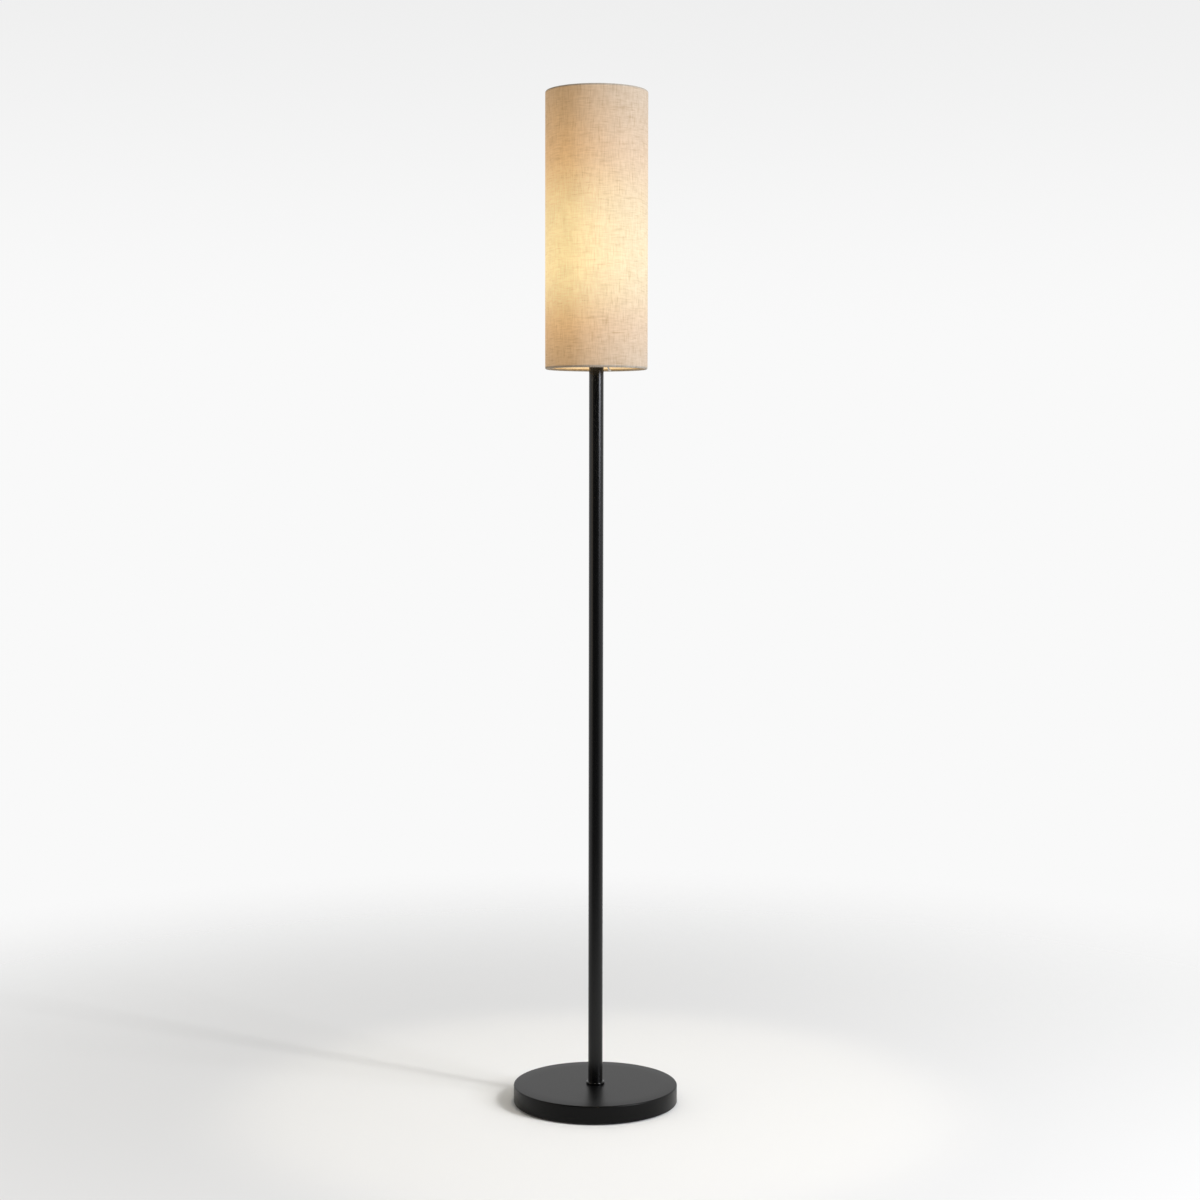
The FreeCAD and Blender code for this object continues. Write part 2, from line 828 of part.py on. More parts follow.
def make_holder_skirt():
    """Upper half of the lampholder: collar, flange for the shade's fitter, and outer thread."""
    ledge = core_top + fit_gap
    bore = core_radius + fit_gap
    lip = shell_outer + fit_gap
    skirt = turned(
        outline(
            (skirt_inner, skirt_foot + fit_gap),
            (holder_radius, skirt_foot + fit_gap),
            (holder_radius, fitter_seat - skirt_flange),
            (flange_radius, fitter_seat - skirt_flange),
            (flange_radius, fitter_seat),
            (thread_radius, fitter_seat),
            (thread_radius, skirt_top),
            (lip, skirt_top),
            (lip, skirt_top - skirt_lip),
            (bore, skirt_top - skirt_lip),
            (bore, ledge),
            (skirt_inner, ledge),
        )
    )
    keep("holder_skirt", skirt)


def make_switch():
    """Moulded shaft with its contact drum, and the fluted knob on its flattened end."""
    drum = Part.makeCylinder(
        drum_radius, drum_length, Vector(0, drum_length / 2, switch_height), FRONT
    )
    shaft_reach = knob_face + knob_depth
    shaft = Part.makeCylinder(shaft_radius, shaft_reach, Vector(0, 0, switch_height), FRONT)
    pin_reach = drum_length / 2 + free_gap + rear_pin_length
    pin = Part.makeCylinder(
        rear_pin_diameter / 2, pin_reach, Vector(0, 0, switch_height), BACK
    )
    flat = box(
        shaft_diameter,
        knob_depth,
        shaft_flat,
        Vector(0, -knob_face - knob_depth / 2, switch_height + shaft_radius - shaft_flat / 2),
    )
    keep("switch_rotor", drum.fuse([shaft, pin]).cut(flat))

    grip = turned(
        outline(
            (0, 0),
            (knob_diameter / 2, 0),
            (knob_diameter / 2, knob_length - knob_chamfer),
            (knob_diameter / 2 - knob_chamfer, knob_length),
            (0, knob_length),
        )
    )
    bore = Part.makeCylinder(shaft_radius + fit_gap, knob_depth + fit_gap)
    key_height = shaft_radius - shaft_flat + fit_gap
    key = box(
        shaft_diameter,
        shaft_flat + 2 * fit_gap,
        2 * knob_depth,
        Vector(0, key_height + shaft_flat / 2 + fit_gap, 0),
    )
    flute = rod(knob_flute_diameter / 2, 0, knob_length, place(0, knob_diameter / 2))
    grip = grip.cut(around(flute, knob_flutes))
    grip = grip.cut(bore.cut(key))
    keep("switch_knob", facing(grip, FRONT, Vector(0, -knob_face, switch_height)))

    leaves = []
    leaf_top = switch_height + drum_radius
    for side in (-1, 1):
        middle = side * (drum_radius + free_gap + leaf_thickness / 2)
        leaves.append(
            box(
                leaf_thickness,
                leaf_width,
                leaf_top - core_foot,
                Vector(middle, 0, (leaf_top + core_foot) / 2),
            )
        )
    keep("switch_leaves", *leaves)


def make_clamp_ring():
    """Threaded ring that screws down on the shade's fitter, notched for the fingers."""
    foot = fitter_top + seat_gap
    ring = turned(
        outline(
            (clamp_inner, foot),
            (clamp_edge, foot),
            (clamp_edge, foot + clamp_flange),
            (clamp_outer, foot + clamp_flange),
            (clamp_outer, foot + clamp_height),
            (clamp_inner, foot + clamp_height),
        )
    )
    notch = rod(
        clamp_notch_diameter / 2,
        foot,
        foot + clamp_flange,
        place(0, clamp_edge + clamp_notch_diameter / 2 - clamp_notch_depth),
    )
    keep("clamp_ring", ring.cut(around(notch, clamp_notches)))


# --- Bulb ------------------------------------------------------------------------------------
def make_bulb():
    """LED bulb: contact, insulator and screw cap, housing with its electronics, opal globe."""
    foot = bulb_foot
    cap_inner_radius = bulb_cap_radius - bulb_cap_wall
    contact = bulb_contact_diameter / 2
    tip = turned(
        outline(
            (0, foot),
            (bulb_tip_diameter / 2, foot),
            (contact, foot + bulb_contact_height / 2),
            (contact, foot + bulb_contact_height),
            (0, foot + bulb_contact_height),
        )
    )
    keep("bulb_contact", tip)
    thread_foot = foot + bulb_thread_foot
    insulator = turned(
        outline(
            (0, foot + bulb_contact_height),
            (contact, foot + bulb_contact_height),
            (cap_inner_radius - fit_gap, thread_foot),
            (cap_inner_radius - fit_gap, thread_foot + bulb_contact_height),
            (0, thread_foot + bulb_contact_height),
        )
    )
    keep("bulb_insulator", insulator)
    keep(
        "bulb_screw_cap",
        tube(bulb_cap_radius, cap_inner_radius, thread_foot, foot + bulb_cap_top),
    )
    make_bulb_housing(cap_inner_radius)
    make_bulb_globe()
    make_bulb_electronics()


def globe_rim_radius():
    """Radius of the globe where it meets the housing."""
    rise = bulb_length - bulb_diameter / 2 - bulb_rim_height
    return math.sqrt((bulb_diameter / 2) ** 2 - rise ** 2)


def make_bulb_housing(cap_inner_radius):
    """White moulded housing that flares from the screw cap to the globe."""
    foot = bulb_foot
    neck = bulb_neck_diameter / 2
    rim = globe_rim_radius()
    neck_top = foot + bulb_neck_top
    rim_height = foot + bulb_rim_height
    cap_top = foot + bulb_cap_top
    plug = cap_inner_radius - fit_gap
    plug_inner = plug - housing_wall
    bulge = ((neck + rim) / 2 - housing_wall, (neck_top + rim_height) / 2)
    inner_bulge = (bulge[0] - housing_wall, bulge[1])
    ledge = rim_height - board_thickness
    housing = turned(
        outline(
            (plug_inner, foot + bulb_plug_foot),
            (plug, foot + bulb_plug_foot),
            (plug, cap_top),
            (neck, cap_top),
            (neck, neck_top),
            (bulge, (rim, rim_height)),
            (rim - housing_wall, rim_height),
            (rim - housing_wall, ledge),
            (rim - 2 * housing_wall, ledge),
            (inner_bulge, (plug_inner, neck_top)),
        )
    )
    keep("bulb_housing", housing)


def make_bulb_globe():
    """Opal hollow globe, a little more than a half sphere."""
    centre = (0, bulb_foot + bulb_length - bulb_diameter / 2)
    outer = bulb_diameter / 2
    inner = outer - globe_wall
    rim_height = bulb_foot + bulb_rim_height
    depth = centre[1] - rim_height
    inner_rim = math.sqrt(inner ** 2 - depth ** 2)
    half_way = (90 - math.degrees(math.asin(depth / outer))) / 2
    globe = turned(
        outline(
            (globe_rim_radius(), rim_height),
            (corner_middle(centre, outer, half_way), (0, centre[1] + outer)),
            (0, centre[1] + inner),
            (corner_middle(centre, inner, half_way), (inner_rim, rim_height)),
        )
    )
    keep("bulb_globe", globe)


def make_bulb_electronics():
    """Aluminium board with its LED chips, and the driver board with its capacitor."""
    rim_height = bulb_foot + bulb_rim_height
    board_radius = globe_rim_radius() - housing_wall - fit_gap
    keep("led_board", rod(board_radius, rim_height - board_thickness, rim_height))
    chip_place = place(0, chip_circle / 2, rim_height + chip_height / 2)
    chip = box(chip_size, chip_size, chip_height, chip_place)
    keep("led_chips", *around(chip, chip_count))
    driver_top = rim_height - board_thickness - fit_gap
    driver_middle = Vector(0, 0, driver_top - driver_height / 2)
    keep("driver_board", box(driver_width, board_thickness, driver_height, driver_middle))
    capacitor_side = board_thickness / 2 + capacitor_diameter / 2 + fit_gap
    capacitor_place = Vector(0, capacitor_side, 0)
    capacitor_top = driver_top - capacitor_diameter / 2
    keep(
        "driver_capacitor",
        rod(
            capacitor_diameter / 2,
            capacitor_top - capacitor_height,
            capacitor_top,
            capacitor_place,
        ),
    )


# --- Shade -----------------------------------------------------------------------------------
def hem_corners(reach, height, side):
    """Corners of the folded hem round a rim wire, from the shade's wall to over the wire.

    Reach is from the wire's centre to each flat of the fold; side is -1 at the lower rim and 1 at
    the upper one.
    """
    step = 360 / hem_sides
    corner_reach = reach / math.cos(math.radians(step / 2))
    corners = []
    for number in range(hem_sides * 3 // 4):
        angle = side * step * (number + 0.5)
        corners.append(corner_middle((rim_circle, height), corner_reach, angle))
    corners.append((rim_circle, height - side * reach))
    return corners


def make_shade_cover():
    """Linen glued round a clear plastic liner, lapped at the back and turned over the rim wires."""
    linen = turned(
        outline(
            *reversed(hem_corners(hem_outer, high_rim_height, 1)),
            *hem_corners(hem_outer, low_rim_height, -1),
            *reversed(hem_corners(hem_inner, low_rim_height, -1)),
            *hem_corners(hem_inner, high_rim_height, 1),
        )
    )
    lap_angle = math.degrees(seam_overlap / shade_radius)
    lap_height = high_rim_height - low_rim_height
    lap = Part.makeCylinder(
        shade_radius + linen_thickness, lap_height, Vector(0, 0, low_rim_height), UP, lap_angle
    )
    lap.rotate(Vector(0, 0, 0), UP, 90 - lap_angle / 2)
    lap = lap.cut(rod(linen_inner, low_rim_height, high_rim_height))
    slot = Part.makeCylinder(
        arm_radius + hem_slot_gap,
        hem_outer,
        Vector(rim_circle - wire_radius, 0, low_rim_height),
        Vector(-1, 0, 0),
    )
    linen = linen.fuse(lap).cut(around(slot, arm_count, arm_angle))
    keep("shade_linen", linen.removeSplitter())
    liner_foot = shade_bottom + liner_margin
    liner_top = lamp_height - liner_margin
    keep("shade_liner", tube(liner_outer, liner_inner, liner_foot, liner_top))


def make_arm(radius):
    """One bent wire from the lower rim wire in and up to the fitter, made along +X."""
    points = [
        Vector(rim_circle - wire_radius - fit_gap, 0, low_rim_height),
        Vector(arm_upright, 0, low_rim_height),
        Vector(arm_upright, 0, arm_level),
        Vector(fitter_outer - arm_weld_overlap, 0, arm_level),
    ]
    return bent_rod(points, [arm_bend, arm_bend], radius)


def make_shade_frame():
    """Rim wires, fitter ring and the three arms that join it to the lower rim."""
    high = Part.makeTorus(rim_circle, wire_radius, Vector(0, 0, high_rim_height), UP)
    low = Part.makeTorus(rim_circle, wire_radius, Vector(0, 0, low_rim_height), UP)
    keep("shade_top_wire", high)
    keep("shade_bottom_wire", low)
    keep("fitter_ring", tube(fitter_outer, fitter_inner, fitter_foot, fitter_top))
    keep("fitter_arms", *around(make_arm(arm_radius), arm_count, arm_angle))


# --- The whole lamp --------------------------------------------------------------------------
make_base_cover()
make_base_weight()
make_base_plate()
make_base_plate_fixings()
make_foot_collar()
make_base_fixings()
make_cord_inlet()
make_terminal_block()
make_wires()
make_pole()
make_holder_cap()
make_holder_core()
make_holder_contacts()
make_holder_skirt()
make_switch()
make_clamp_ring()
make_bulb()
make_shade_cover()
make_shade_frame()

os.makedirs("parts", exist_ok=True)
for name, shape in node_shapes.items():
    shape.exportStep("parts/" + name + ".step")
    print(name, "solids", len(shape.Solids), "valid", shape.isValid(), "volume", round(shape.Volume))
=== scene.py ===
import math

import bpy
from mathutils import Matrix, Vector


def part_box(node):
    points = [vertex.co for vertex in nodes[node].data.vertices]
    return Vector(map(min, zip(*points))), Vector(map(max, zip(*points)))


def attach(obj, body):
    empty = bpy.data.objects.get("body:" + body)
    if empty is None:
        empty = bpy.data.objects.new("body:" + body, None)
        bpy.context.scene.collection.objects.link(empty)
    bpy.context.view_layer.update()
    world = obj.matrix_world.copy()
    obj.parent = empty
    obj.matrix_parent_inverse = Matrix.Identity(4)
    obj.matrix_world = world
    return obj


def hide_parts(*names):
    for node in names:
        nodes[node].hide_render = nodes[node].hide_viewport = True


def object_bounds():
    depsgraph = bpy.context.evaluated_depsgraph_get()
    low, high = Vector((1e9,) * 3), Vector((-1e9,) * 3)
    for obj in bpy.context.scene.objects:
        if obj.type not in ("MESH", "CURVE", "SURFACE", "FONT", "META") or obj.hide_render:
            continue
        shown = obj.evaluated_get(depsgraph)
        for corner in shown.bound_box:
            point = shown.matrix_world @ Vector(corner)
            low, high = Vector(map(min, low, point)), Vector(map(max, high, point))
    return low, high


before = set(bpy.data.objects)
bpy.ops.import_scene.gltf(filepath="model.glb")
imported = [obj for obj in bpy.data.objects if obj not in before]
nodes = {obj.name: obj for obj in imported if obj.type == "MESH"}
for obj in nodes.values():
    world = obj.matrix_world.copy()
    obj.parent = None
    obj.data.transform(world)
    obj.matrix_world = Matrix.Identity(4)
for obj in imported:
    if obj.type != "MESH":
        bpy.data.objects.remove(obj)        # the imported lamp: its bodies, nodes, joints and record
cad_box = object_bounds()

mm = 0.001
lamp_top = cad_box[1].z


# --- Camera --------------------------------------------------------------------------------------
# The lamp is seen from a little over three metres, from about two thirds of its height, through a
# long lens that looks slightly down. The picture leans by a tenth of a degree.
camera_place = Vector((0.0057, -3.3285, 0.970))
camera_tilt = math.radians(3.426)
camera_lean = math.radians(-0.089)
camera_lens = 66.1           # mm, on a sensor of the next width
sensor_width = 36.0
bpy.ops.object.camera_add(
    location=camera_place, rotation=(math.pi / 2 - camera_tilt, camera_lean, 0)
)
camera = bpy.context.object
camera.name = "camera"
camera.data.lens = camera_lens
camera.data.sensor_width = sensor_width
bpy.context.scene.camera = camera
bpy.context.scene.view_settings.view_transform = "Standard"


# --- Floor and light -----------------------------------------------------------------------------
# A sheet of pale matt paper lies under the lamp and fades into a white room. The main light comes
# from high at the right and a little in front. A wide low lamp there puts a streak on the pole.
def colour(code, alpha=1.0):
    """An sRGB hex colour as the linear one that a shader takes."""
    channels = [int(code[place:place + 2], 16) / 255 for place in (0, 2, 4)]
    linear = [c / 12.92 if c <= 0.04045 else ((c + 0.055) / 1.055) ** 2.4 for c in channels]
    return (*linear, alpha)


def add_node(tree, kind, settings=(), links=()):
    """Adds a shader node.

    Settings are values of its sockets or of its own, and links are the sockets to join.
    """
    new = tree.nodes.new(kind)
    for key, value in dict(settings).items():
        if isinstance(key, str) and hasattr(new, key):
            setattr(new, key, value)
        else:
            new.inputs[key].default_value = value
    for key, source in dict(links).items():
        tree.links.new(source, new.inputs[key])
    return new


def new_material(name):
    """A material with its node tree and its main shader."""
    made = bpy.data.materials.new(name)
    made.use_nodes = True
    return made, made.node_tree, made.node_tree.nodes["Principled BSDF"]


paper_radius = 7.0           # these three in metres
paper_fade_start = 0.5
paper_fade_end = 2.0
bpy.ops.mesh.primitive_circle_add(
    vertices=96, radius=paper_radius, fill_type="NGON", location=(0, 0, 0)
)
floor = bpy.context.object
floor.name = "paper_floor"

# Matt white background paper: almost no gloss, so that it keeps the shadows soft and even.
paper, tree, shader = new_material("matt_paper")
shader.inputs["Base Color"].default_value = colour("F1F1EF")
shader.inputs["Roughness"].default_value = 0.9
shader.inputs["Specular IOR Level"].default_value = 0.1
spot = add_node(tree, "ShaderNodeTexCoord").outputs["Object"]
reach = add_node(tree, "ShaderNodeVectorMath", {"operation": "LENGTH"}, {0: spot}).outputs["Value"]
fade = add_node(
    tree, "ShaderNodeMapRange",
    {"interpolation_type": "SMOOTHSTEP", "From Min": paper_fade_start, "From Max": paper_fade_end,
     "To Min": 1.0, "To Max": 0.0},
    {"Value": reach},
).outputs["Result"]
tree.links.new(fade, shader.inputs["Alpha"])
floor.data.materials.append(paper)

# The room is white behind the lamp and grey above and in front of it, as gloss on the lamp shows.
# A span is the part of the way up, or from front to back, over which one level turns to another.
room_light_front = 0.14
room_light_back = 0.64
room_span = (-1.0, 1.0)
room_white = colour("F9F9F9")
backdrop_top = 0.9
backdrop_span = (0.05, 0.25)
ceiling_grey = 0.12
ceiling_span = (0.45, 0.8)
front_grey = 0.08
front_span = (-0.85, -0.05)
world = bpy.data.worlds.new("white_room")
bpy.context.scene.world = world
world.use_nodes = True
tree = world.node_tree
soft = tree.nodes["Background"]
soft.inputs["Color"].default_value = colour("FAFAFA")
seen = add_node(tree, "ShaderNodeBackground", {"Color": room_white})
direction = add_node(tree, "ShaderNodeTexCoord").outputs["Generated"]
way = add_node(tree, "ShaderNodeSeparateXYZ", {}, {0: direction}).outputs


def room_shade(axis, span, level_at_start, level_at_end):
    """The room's brightness along one axis of the direction looked in."""
    return add_node(
        tree, "ShaderNodeMapRange",
        {"interpolation_type": "SMOOTHSTEP", "From Min": span[0], "From Max": span[1],
         "To Min": level_at_start, "To Max": level_at_end},
        {"Value": way[axis]},
    ).outputs["Result"]


room_light = room_shade("Y", room_span, room_light_front, room_light_back)
tree.links.new(room_light, soft.inputs["Strength"])
backdrop = room_shade("Z", backdrop_span, 1.0, backdrop_top)
ceiling = room_shade("Z", ceiling_span, 1.0, ceiling_grey)
front = room_shade("Y", front_span, front_grey, 1.0)
dim = add_node(tree, "ShaderNodeMath", {"operation": "MULTIPLY"}, {0: ceiling, 1: front})
ray = add_node(tree, "ShaderNodeLightPath").outputs
level = add_node(
    tree, "ShaderNodeMix", {}, {0: ray["Is Glossy Ray"], 2: backdrop, 3: dim.outputs["Value"]}
)
tree.links.new(level.outputs[0], seen.inputs["Strength"])
mirrored = add_node(
    tree, "ShaderNodeMath", {"operation": "MAXIMUM"},
    {0: ray["Is Camera Ray"], 1: ray["Is Glossy Ray"]},
)
direct = add_node(
    tree, "ShaderNodeMath", {"operation": "MAXIMUM"},
    {0: mirrored.outputs["Value"], 1: ray["Is Transmission Ray"]},
)
both = add_node(
    tree, "ShaderNodeMixShader", {},
    {0: direct.outputs["Value"], 1: soft.outputs["Background"], 2: seen.outputs["Background"]},
)
tree.links.new(both.outputs["Shader"], tree.nodes["World Output"].inputs["Surface"])


def add_soft_lamp(name, place, aim, width, height, watts, code):
    """A rectangular soft lamp that faces a point."""
    turn = (Vector(aim) - Vector(place)).to_track_quat("-Z", "Y").to_euler()
    bpy.ops.object.light_add(type="AREA", location=place, rotation=turn)
    lamp = bpy.context.object
    lamp.name = name
    lamp.data.shape = "RECTANGLE"
    lamp.data.size = width
    lamp.data.size_y = height
    lamp.data.energy = watts
    lamp.data.color = colour(code)[:3]


# The large lamp gives the soft shadows, and the small one in the middle of it the pole's thin one.
# The numbers are metres and watts.
key_place = (5.13, -3.08, 4.95)
add_soft_lamp("key_lamp", key_place, (0, 0, 0), 2.9, 2.9, 280, "FDFDFF")
add_soft_lamp("hard_lamp", key_place, (0, 0, 0), 0.5, 0.5, 130, "FDFDFF")
add_soft_lamp("side_lamp", (2.9, -1.8, 1.38), (0, 0, 1.1), 1.5, 0.5, 44, "F2F5FF")
add_soft_lamp("fill_lamp", (-3.7, -1.5, 1.3), (0, 0, 1.0), 1.2, 2.2, 12, "FFE6C4")


# --- Base cover ----------------------------------------------------------------------------------
# The base is closed by a deep-drawn steel pan with a rounded edge, sprayed satin black and baked.
# It sits over the iron weight, and its lower rim is curled a little inwards.
def turned(name, profile, sides, closed=True):
    """A round piece on the lamp's axis, made by extruding a circle along a profile.

    The profile's points are (radius, height) in mm. A closed one returns to its first point.
    Points on the axis become poles.
    """
    bpy.ops.object.select_all(action="DESELECT")
    tiny = 1e-5
    radii = [max(radius * mm, tiny) for radius, height in profile]
    levels = [height * mm for radius, height in profile]
    bpy.ops.mesh.primitive_circle_add(vertices=sides, radius=radii[0], location=(0, 0, levels[0]))
    piece = bpy.context.object
    piece.name = name
    bpy.ops.object.mode_set(mode="EDIT")
    bpy.ops.mesh.select_all(action="SELECT")
    steps = list(range(1, len(profile))) + ([0] if closed else [])
    last = 0
    for step in steps:
        rise = levels[step] - levels[last]
        bpy.ops.mesh.extrude_region_move(TRANSFORM_OT_translate={"value": (0, 0, rise)})
        scale = radii[step] / radii[last]
        bpy.ops.transform.resize(value=(scale, scale, 1), center_override=(0, 0, levels[step]))
        last = step
    bpy.ops.mesh.select_all(action="SELECT")
    bpy.ops.mesh.remove_doubles(threshold=3 * tiny)
    bpy.ops.mesh.normals_make_consistent(inside=False)
    bpy.ops.object.mode_set(mode="OBJECT")
    return settled(piece)


def settled(piece):
    """Puts a finished piece's place, turn and scale into its mesh."""
    bpy.ops.object.select_all(action="DESELECT")
    piece.select_set(True)
    bpy.context.view_layer.objects.active = piece
    bpy.ops.object.transform_apply(location=True, rotation=True, scale=True)
    return piece


def arc(centre, radius, start, end, steps):
    """Profile points along an arc about a centre, from one angle in degrees to another."""
    turns = [math.radians(start + (end - start) * step / steps) for step in range(steps + 1)]
    return [(centre[0] + radius * math.cos(t), centre[1] + radius * math.sin(t)) for t in turns]


def modified(piece, kind, **settings):
    """Adds a modifier to a piece and applies it."""
    bpy.ops.object.select_all(action="DESELECT")
    piece.select_set(True)
    bpy.context.view_layer.objects.active = piece
    bpy.ops.object.modifier_add(type=kind)
    modifier = piece.modifiers[-1]
    for key, value in settings.items():
        setattr(modifier, key, value)
    bpy.ops.object.modifier_apply(modifier=modifier.name)
    return piece


def smoothed(piece, angle=35):
    """Shades a piece smoothly except over sharp edges."""
    bpy.ops.object.select_all(action="DESELECT")
    piece.select_set(True)
    bpy.context.view_layer.objects.active = piece
    bpy.ops.object.shade_smooth_by_angle(angle=math.radians(angle))
    return piece


def fitted(piece, body, slot, material, *stands_for):
    """Gives a piece its material, the body it moves with and the nodes that it stands for."""
    piece.data.materials.clear()
    piece.data.materials.append(material)
    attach(piece, body)
    if stands_for:
        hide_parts(*stands_for)


patch_size = 45.0            # of the slow drift in a finish, in mm


def grained(name, code, roughness, grain, relief, metallic=0.0, drift=0.08, spread=0.06):
    """A finish whose gloss and surface vary with a grain of that size in mm, over a slow drift.

    Relief is the grain's height in mm, drift the share by which the colour wanders, and spread the
    amount by which the roughness does.
    """
    made, tree, shader = new_material(name)
    shader.inputs["Metallic"].default_value = metallic
    spot = add_node(tree, "ShaderNodeTexCoord").outputs["Object"]
    fine = add_node(
        tree, "ShaderNodeTexNoise", {"Scale": 1 / (grain * mm), "Detail": 3.0, "Roughness": 0.6},
        {"Vector": spot},
    ).outputs["Fac"]
    slow = add_node(
        tree, "ShaderNodeTexNoise", {"Scale": 1 / (patch_size * mm), "Detail": 2.0},
        {"Vector": spot},
    ).outputs["Fac"]
    wander = add_node(tree, "ShaderNodeMath", {"operation": "MULTIPLY"}, {0: fine, 1: slow})
    base = colour(code)
    dark = (*[c * (1 - drift) for c in base[:3]], 1.0)
    pale = (*[min(1.0, c * (1 + drift)) for c in base[:3]], 1.0)
    # A Mix node takes its two colours at sockets 6 and 7 and gives theirs at output 2.
    tint = add_node(
        tree, "ShaderNodeMix", {"data_type": "RGBA", 6: dark, 7: pale}, {0: wander.outputs["Value"]}
    )
    tree.links.new(tint.outputs[2], shader.inputs["Base Color"])
    gloss = add_node(
        tree, "ShaderNodeMapRange", {"To Min": roughness - spread, "To Max": roughness + spread},
        {"Value": fine},
    )
    tree.links.new(gloss.outputs["Result"], shader.inputs["Roughness"])
    bump = add_node(
        tree, "ShaderNodeBump", {"Strength": 1.0, "Distance": relief * mm}, {"Height": fine}
    )
    tree.links.new(bump.outputs["Normal"], shader.inputs["Normal"])
    return made, shader


# Powder-coated steel: black, matt, with a fine orange peel about a millimetre across.
black_coat, shader = grained("black_powder_coat", "090909", 0.36, 1.1, 0.004)
shader.inputs["Specular IOR Level"].default_value = 0.14

low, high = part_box("base_cover")
base_radius = high.x / mm
base_height = high.z / mm
base_lift = low.z / mm
cover_wall = 1.2
cover_round = 2.0
cover_hole = 5.05
rim_curl = 0.6
inner_round = cover_round - cover_wall
cover_profile = (
    [(base_radius - cover_wall, base_lift + rim_curl)]
    + [(base_radius - cover_wall + rim_curl / 2, base_lift)]
    + arc((base_radius - rim_curl, base_lift + rim_curl), rim_curl, -90, 0, 3)
    + arc((base_radius - cover_round, base_height - cover_round), cover_round, 0, 90, 8)
    + [(base_radius * share, base_height) for share in (0.8, 0.6, 0.4, 0.2)]
    + [(cover_hole, base_height), (cover_hole, base_height - cover_wall)]
    + arc((base_radius - cover_round, base_height - cover_round), inner_round, 90, 0, 4)
)
cover = smoothed(turned("base_pan", cover_profile, 192))

inlet_low, inlet_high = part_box("cord_inlet")
inlet_level = (inlet_low.z + inlet_high.z) / 2
inlet_hole = 5.05
punch_length = 20.0
bpy.ops.object.select_all(action="DESELECT")
bpy.ops.mesh.primitive_cylinder_add(
    vertices=32, radius=inlet_hole * mm, depth=punch_length * mm, location=(0, high.y, inlet_level),
    rotation=(math.pi / 2, 0, 0),
)
punch = settled(bpy.context.object)
modified(cover, "BOOLEAN", operation="DIFFERENCE", object=punch, solver="EXACT")
bpy.data.objects.remove(punch)
smoothed(cover)
fitted(cover, "stand", "black_paint", black_coat, "base_cover")


# --- Weight, bottom plate and feet ---------------------------------------------------------------
# A rough iron casting fills the base. A zinc-plated plate closes it, held by three countersunk
# screws, and the lamp stands on five moulded rubber pads that are glued to the plate.
# Cast iron is dark and dull with a sandy skin, zinc plate half bright, and rubber quite matt.
iron, shader = grained("grey_cast_iron", "3A3937", 0.72, 1.8, 0.12, metallic=0.7, drift=0.3)
zinc, shader = grained("zinc_plated_steel", "A9ABAD", 0.34, 0.8, 0.004, metallic=1.0, drift=0.1)
rubber, shader = grained("black_rubber", "151515", 0.78, 0.5, 0.02, drift=0.2)


def finish_nodes(material, *names):
    """Gives CAD nodes that stay as they are their finish."""
    for name in names:
        nodes[name].data.materials.clear()
        nodes[name].data.materials.append(material)


finish_nodes(iron, "base_weight")
finish_nodes(zinc, "base_plate", "base_nipple", "base_washer", "spring_washer", "base_nut")


def copied(piece, name):
    """A copy of a piece with its own mesh."""
    copy = piece.copy()
    copy.data = piece.data.copy()
    copy.name = name
    bpy.context.scene.collection.objects.link(copy)
    return copy


def repeated(piece, count, first, name):
    """One mesh of a piece made off the axis, repeated evenly round it from a first angle."""
    copies = [piece]
    for number in range(1, count):
        copies.append(copied(piece, name + "_more"))
    bpy.ops.object.select_all(action="DESELECT")
    for number, copy in enumerate(copies):
        copy.rotation_euler = (0, 0, math.radians(first + number * 360 / count))
        copy.select_set(True)
    bpy.context.view_layer.objects.active = piece
    bpy.ops.object.transform_apply(location=True, rotation=True, scale=True)
    bpy.ops.object.join()
    piece.name = name
    return piece


def moved(piece, offset):
    """Moves a piece's mesh by an offset in mm."""
    piece.location = Vector(offset) * mm
    return settled(piece)


def less(piece, cutter):
    """Cuts one piece by another, which is used up."""
    modified(piece, "BOOLEAN", operation="DIFFERENCE", object=cutter, solver="EXACT")
    bpy.data.objects.remove(cutter)
    return piece


pad_count = 5
pad_radius = 10.0
pad_round = 0.6
pad_hollow = 6.2
pad_tread = 7.0
pad_circle = 109.0
pad_profile = (
    [(0, 0.5), (pad_hollow, 0.4), (pad_tread, 0.0), (pad_radius - pad_round, 0.0)]
    + arc((pad_radius - pad_round, pad_round), pad_round, -90, 0, 3)
    + [(pad_radius - 0.4, base_lift), (0, base_lift)]
)
pad = moved(smoothed(turned("pad", pad_profile, 48, closed=False)), (pad_circle, 0, 0))
feet = repeated(pad, pad_count, 90, "rubber_feet")
fitted(feet, "stand", "rubber", rubber, "foot_pads")

screw_count = 3
screw_head = 3.75
screw_sink = 1.5
screw_shank = 2.0
screw_circle = 80.0
screw_top = 11.0
cross_slot = (4.2, 0.9, 1.8)
screw_profile = (
    [(0, base_lift), (screw_head - 0.2, base_lift), (screw_head, base_lift + 0.15)]
    + [(screw_shank, base_lift + screw_sink), (screw_shank, screw_top - 1.5)]
    + [(0.6, screw_top), (0, screw_top)]
)
screw = smoothed(turned("screw", screw_profile, 40, closed=False))
for turn in (0, math.pi / 2):
    bpy.ops.object.select_all(action="DESELECT")
    bpy.ops.mesh.primitive_cube_add(size=1, location=(0, 0, base_lift * mm), rotation=(0, 0, turn))
    cross = bpy.context.object
    cross.scale = Vector(cross_slot) * mm
    screw = less(screw, settled(cross))
screws = repeated(moved(smoothed(screw), (screw_circle, 0, 0)), screw_count, 150, "plate_fixings")
fitted(screws, "stand", "zinc_steel", zinc, "plate_screws")


